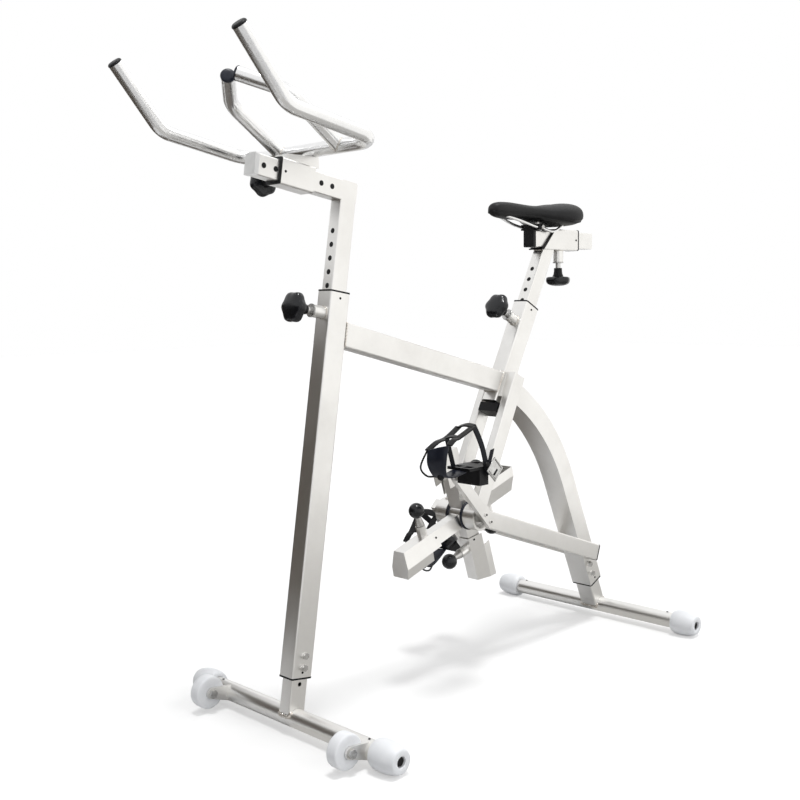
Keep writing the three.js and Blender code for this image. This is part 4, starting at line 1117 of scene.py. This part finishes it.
def toe_cage(side, matrix):
    """All pieces of one cage, placed by its pedal's frame."""
    body = f"pedal_{side}"
    panel = ribbon(f"cage_panel_{side}", PANEL, 3.6, matrix, NAVY, body, 6, 3)
    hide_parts(f"toe_cage_{side}")
    for name, places, way, half, thick, material in BARS:
        pairs = widened(places, way, half)
        ribbon(f"cage_{name}_{side}", pairs, thick, matrix, material, body)
    for name, place, way in KNOTS:
        knot = spun(f"cage_{name}_knot_{side}", knot_outline, at(matrix, place, way), 24, 80)
        settle(knot, body, BLACK)
    settle(smooth_wire(f"cage_loop_{side}", LOOP, matrix, 2.0, BLACK, 12), body, BLACK)
    settle(ring_tube(f"buckle_{side}", on(matrix, BUCKLE), 2.4 * MM, BOLT, 12), body, BOLT)
    ribbon(f"buckle_plate_{side}", BUCKLE_PLATE, 2.2, matrix, BOLT, body)
    ribbon(f"buckle_slot_{side}", BUCKLE_SLOT, 1.2, matrix, BLACK, body)


PEDAL_TURNS = {"left": 0, "right": 28}
for side, way in SIDES:
    spindle = standing(*along(*HUB, CRANK_LEANS[side], CRANK_LONG))
    flip = Matrix.Diagonal((way, 1, 1, 1))  # the right cage is the left one's mirror image
    toe_cage(side, spindle @ Matrix.Rotation(radians(PEDAL_TURNS[side]), 4, "X") @ flip)
print("2 toe cages")

# %% [markdown]
# ## Welds
#
# The frame is welded by hand, and each joint shows a bead of small overlapping drops. A
# Geometry Nodes tree follows the joint's line: the line is cut into short steps, each step's
# thickness swings like the drops do, and noise with a fixed seed makes it uneven.

# %% A tree that lays a weld bead along a line
bead, bead_in, bead_out = geometry_tree("weld_bead", [
    ("Radius", "Float"), ("Step", "Float"), ("Seed", "Float"), ("Material", "Material"),
])
bead_curve = bead.nodes.new("GeometryNodeMeshToCurve")
stepped = bead.nodes.new("GeometryNodeResampleCurve")
stepped.mode = "LENGTH"
number = bead.nodes.new("GeometryNodeInputIndex")
swing = math_node(bead, "MULTIPLY", number.outputs[0], 1.57)
swing = math_node(bead, "SINE", swing, 0.0)
uneven = set_inputs(bead.nodes.new("ShaderNodeTexNoise"), Scale=260)
uneven.noise_dimensions = "4D"
swing = math_node(bead, "MULTIPLY", swing, 0.16)
swing = math_node(bead, "ADD", swing, math_node(bead, "MULTIPLY", uneven.outputs["Fac"], 0.7))
swing = math_node(bead, "ADD", swing, 0.55)
thick = bead.nodes.new("GeometryNodeSetCurveRadius")
bead_section = set_inputs(bead.nodes.new("GeometryNodeCurvePrimitiveCircle"), Resolution=8)
laid = bead.nodes.new("GeometryNodeCurveToMesh")
bead.links.new(swing, thick.inputs["Radius"])
radius_now = bead.nodes.new("GeometryNodeInputRadius")
link_nodes(bead, [
    (bead_in, "Geometry", bead_curve, "Mesh"),
    (bead_in, "Step", stepped, "Length"),
    (bead_in, "Seed", uneven, "W"),
    (bead_in, "Radius", bead_section, "Radius"),
    (bead_curve, "Curve", stepped, "Curve"),
    (stepped, "Curve", thick, "Curve"),
    (thick, "Curve", laid, "Curve"),
    (bead_section, "Curve", laid, "Profile Curve"),
    (radius_now, "Radius", laid, "Scale"),
])
finish_tree(bead, bead_in, laid, "Mesh", bead_out)
BEAD_STEP = 1.6 * MM


def weld(name, places, body, radius, seed):
    """A closed bead through places in metres."""
    mesh = path_mesh(name, [places], [0.0] * len(places), closed=True)
    values = {"Radius": radius * MM, "Step": BEAD_STEP, "Seed": seed, "Material": WELD}
    obj = run_tree(name, mesh, bead, values)
    obj.data.shade_smooth()
    return settle(obj, body, WELD)


def box_loop(matrix, width, depth, corner, height):
    """The outline of a box tube at some height, which may depend on how far back it is."""
    made = []
    for cx, cy, start in ((1, 1, 0), (-1, 1, 90), (-1, -1, 180), (1, -1, 270)):
        for i in range(6):
            turn = radians(start + 18 * i)
            x = cx * (width / 2 - corner) + corner * cos(turn)
            y = cy * (depth / 2 - corner) + corner * sin(turn)
            made.append(matrix @ Vector((x, y, height(y) if callable(height) else height)))
    return made


def dense(places, steps=8):
    """More places on the straight stretches of a closed line."""
    made = []
    for a, b in zip(places, places[1:] + places[:1]):
        made += [a.lerp(b, i / steps) for i in range(steps)]
    return made


# %% Welds of the feet and the frame


def over_round(radius, most):
    """How high the end of a tube stands on a round tube that runs across under it."""
    return lambda y: (radius ** 2 - min(abs(y), most) ** 2) ** 0.5


FLAT_TUBES = {"hanger": (HANGER_LEAN, 37), "lower_arm": (ARM_LEAN, 39.3)}


def on_flat(kind, way):
    """The frame of a hanger or of a lower arm, which both start at the hub."""
    lean, across = FLAT_TUBES[kind]
    return standing(*HUB, lean) @ Matrix.Translation((way * across, 0, 0))


on_foot, on_housing = over_round(19.2, 18.9), over_round(31.4, 20)
weld("weld_front_leg", dense(box_loop(on_post, 30, 38, 3, on_foot)), "frame", 4.2, 3)
weld("weld_rear_leg", dense(box_loop(on_arch, 48, 38, 3, on_foot)), "frame", 3, 5)
for kind in FLAT_TUBES:
    for side, way in SIDES:
        line = box_loop(on_flat(kind, way), 20, 40, 3, on_housing)
        weld(f"weld_{kind}_{side}", dense(line), "frame", 1.8, 7)
print("leg welds laid")

# %% Welds where a tube ends on a flat side, and round the barrels of the spring pins


def seen_from(matrix, node):
    """The corners of a CAD node in a tube's own frame."""
    return [matrix.inverted() @ v.co for v in frame["nodes"][node].data.vertices]


def weld_on_side(node, other, side, seed):
    """A bead round the end of a CAD tube that stands on the side of another tube."""
    end = [Vector((p.x, p.z)) for p in seen_from(other, node) if abs(p.y - side) < 0.9]
    line = [end[i] for i in convex_hull_2d(end)]
    places = [other @ Vector((p.x, side, p.y)) for p in line]
    weld(f"weld_{node}_{seed}", dense(places), "frame", 1.9, seed)


SLEEVE_SIDE = 25.3
weld_on_side("main_beam", on_post, SLEEVE_SIDE, 11)
weld_on_side("main_beam", on_seat, -SLEEVE_SIDE, 12)
weld_on_side("arch_tube", on_seat, SLEEVE_SIDE, 13)
BARREL, ARM_ROUND = 12.9, 13.6
barrel_turns, arm_turns = ([2 * pi * i / count for i in range(count)] for count in (24, 32))
for kind, matrix, holder in PINS:
    ring = on(matrix, [(BARREL * cos(turn), BARREL * sin(turn), 0.3) for turn in barrel_turns])
    weld(f"weld_{kind}_barrel", ring, holder, 1.1, 21)
for side, way in SIDES:
    foot, elbow = (Vector(p if way > 0 else flipped(p)) for p in arm[:2])
    ahead = (elbow - foot).normalized()
    across = Vector((1, 0, 0)).cross(ahead).normalized()
    ring = []
    for turn in arm_turns:
        out = Vector((1, 0, 0)) * cos(turn) + across * sin(turn)
        out += ahead * (0.1 + 0.9 * abs(cos(turn)))
        ring.append(on_bar @ (foot + out * ARM_ROUND))
    weld(f"weld_bar_arm_{side}", ring, "bars", 1.4, 31)
print("all welds laid")

# %% Dark plugs in the outer ends of the lower arms


def end_plug(name, matrix, start, thick):
    """A dark plate on the end of a flat tube."""
    low, high = (box_loop(matrix, 21, 41, 3.4, up) for up in (start, start + thick))
    count = len(low)
    after = [(i + 1) % count for i in range(count)]
    faces = [tuple(reversed(range(count))), tuple(range(count, 2 * count))]
    faces += [(i, j, count + j, count + i) for i, j in enumerate(after)]
    mesh = bpy.data.meshes.new(name)
    mesh.from_pydata(low + high, [], faces)
    settle(linked(name, mesh), "frame", BLACK)


for side, way in SIDES:
    on_arm = on_flat("lower_arm", way)
    places = seen_from(on_arm, f"lower_arm_{side}")
    end_plug(f"arm_plug_{side}", on_arm, max(place.z for place in places), 3)
print("2 arm plugs")
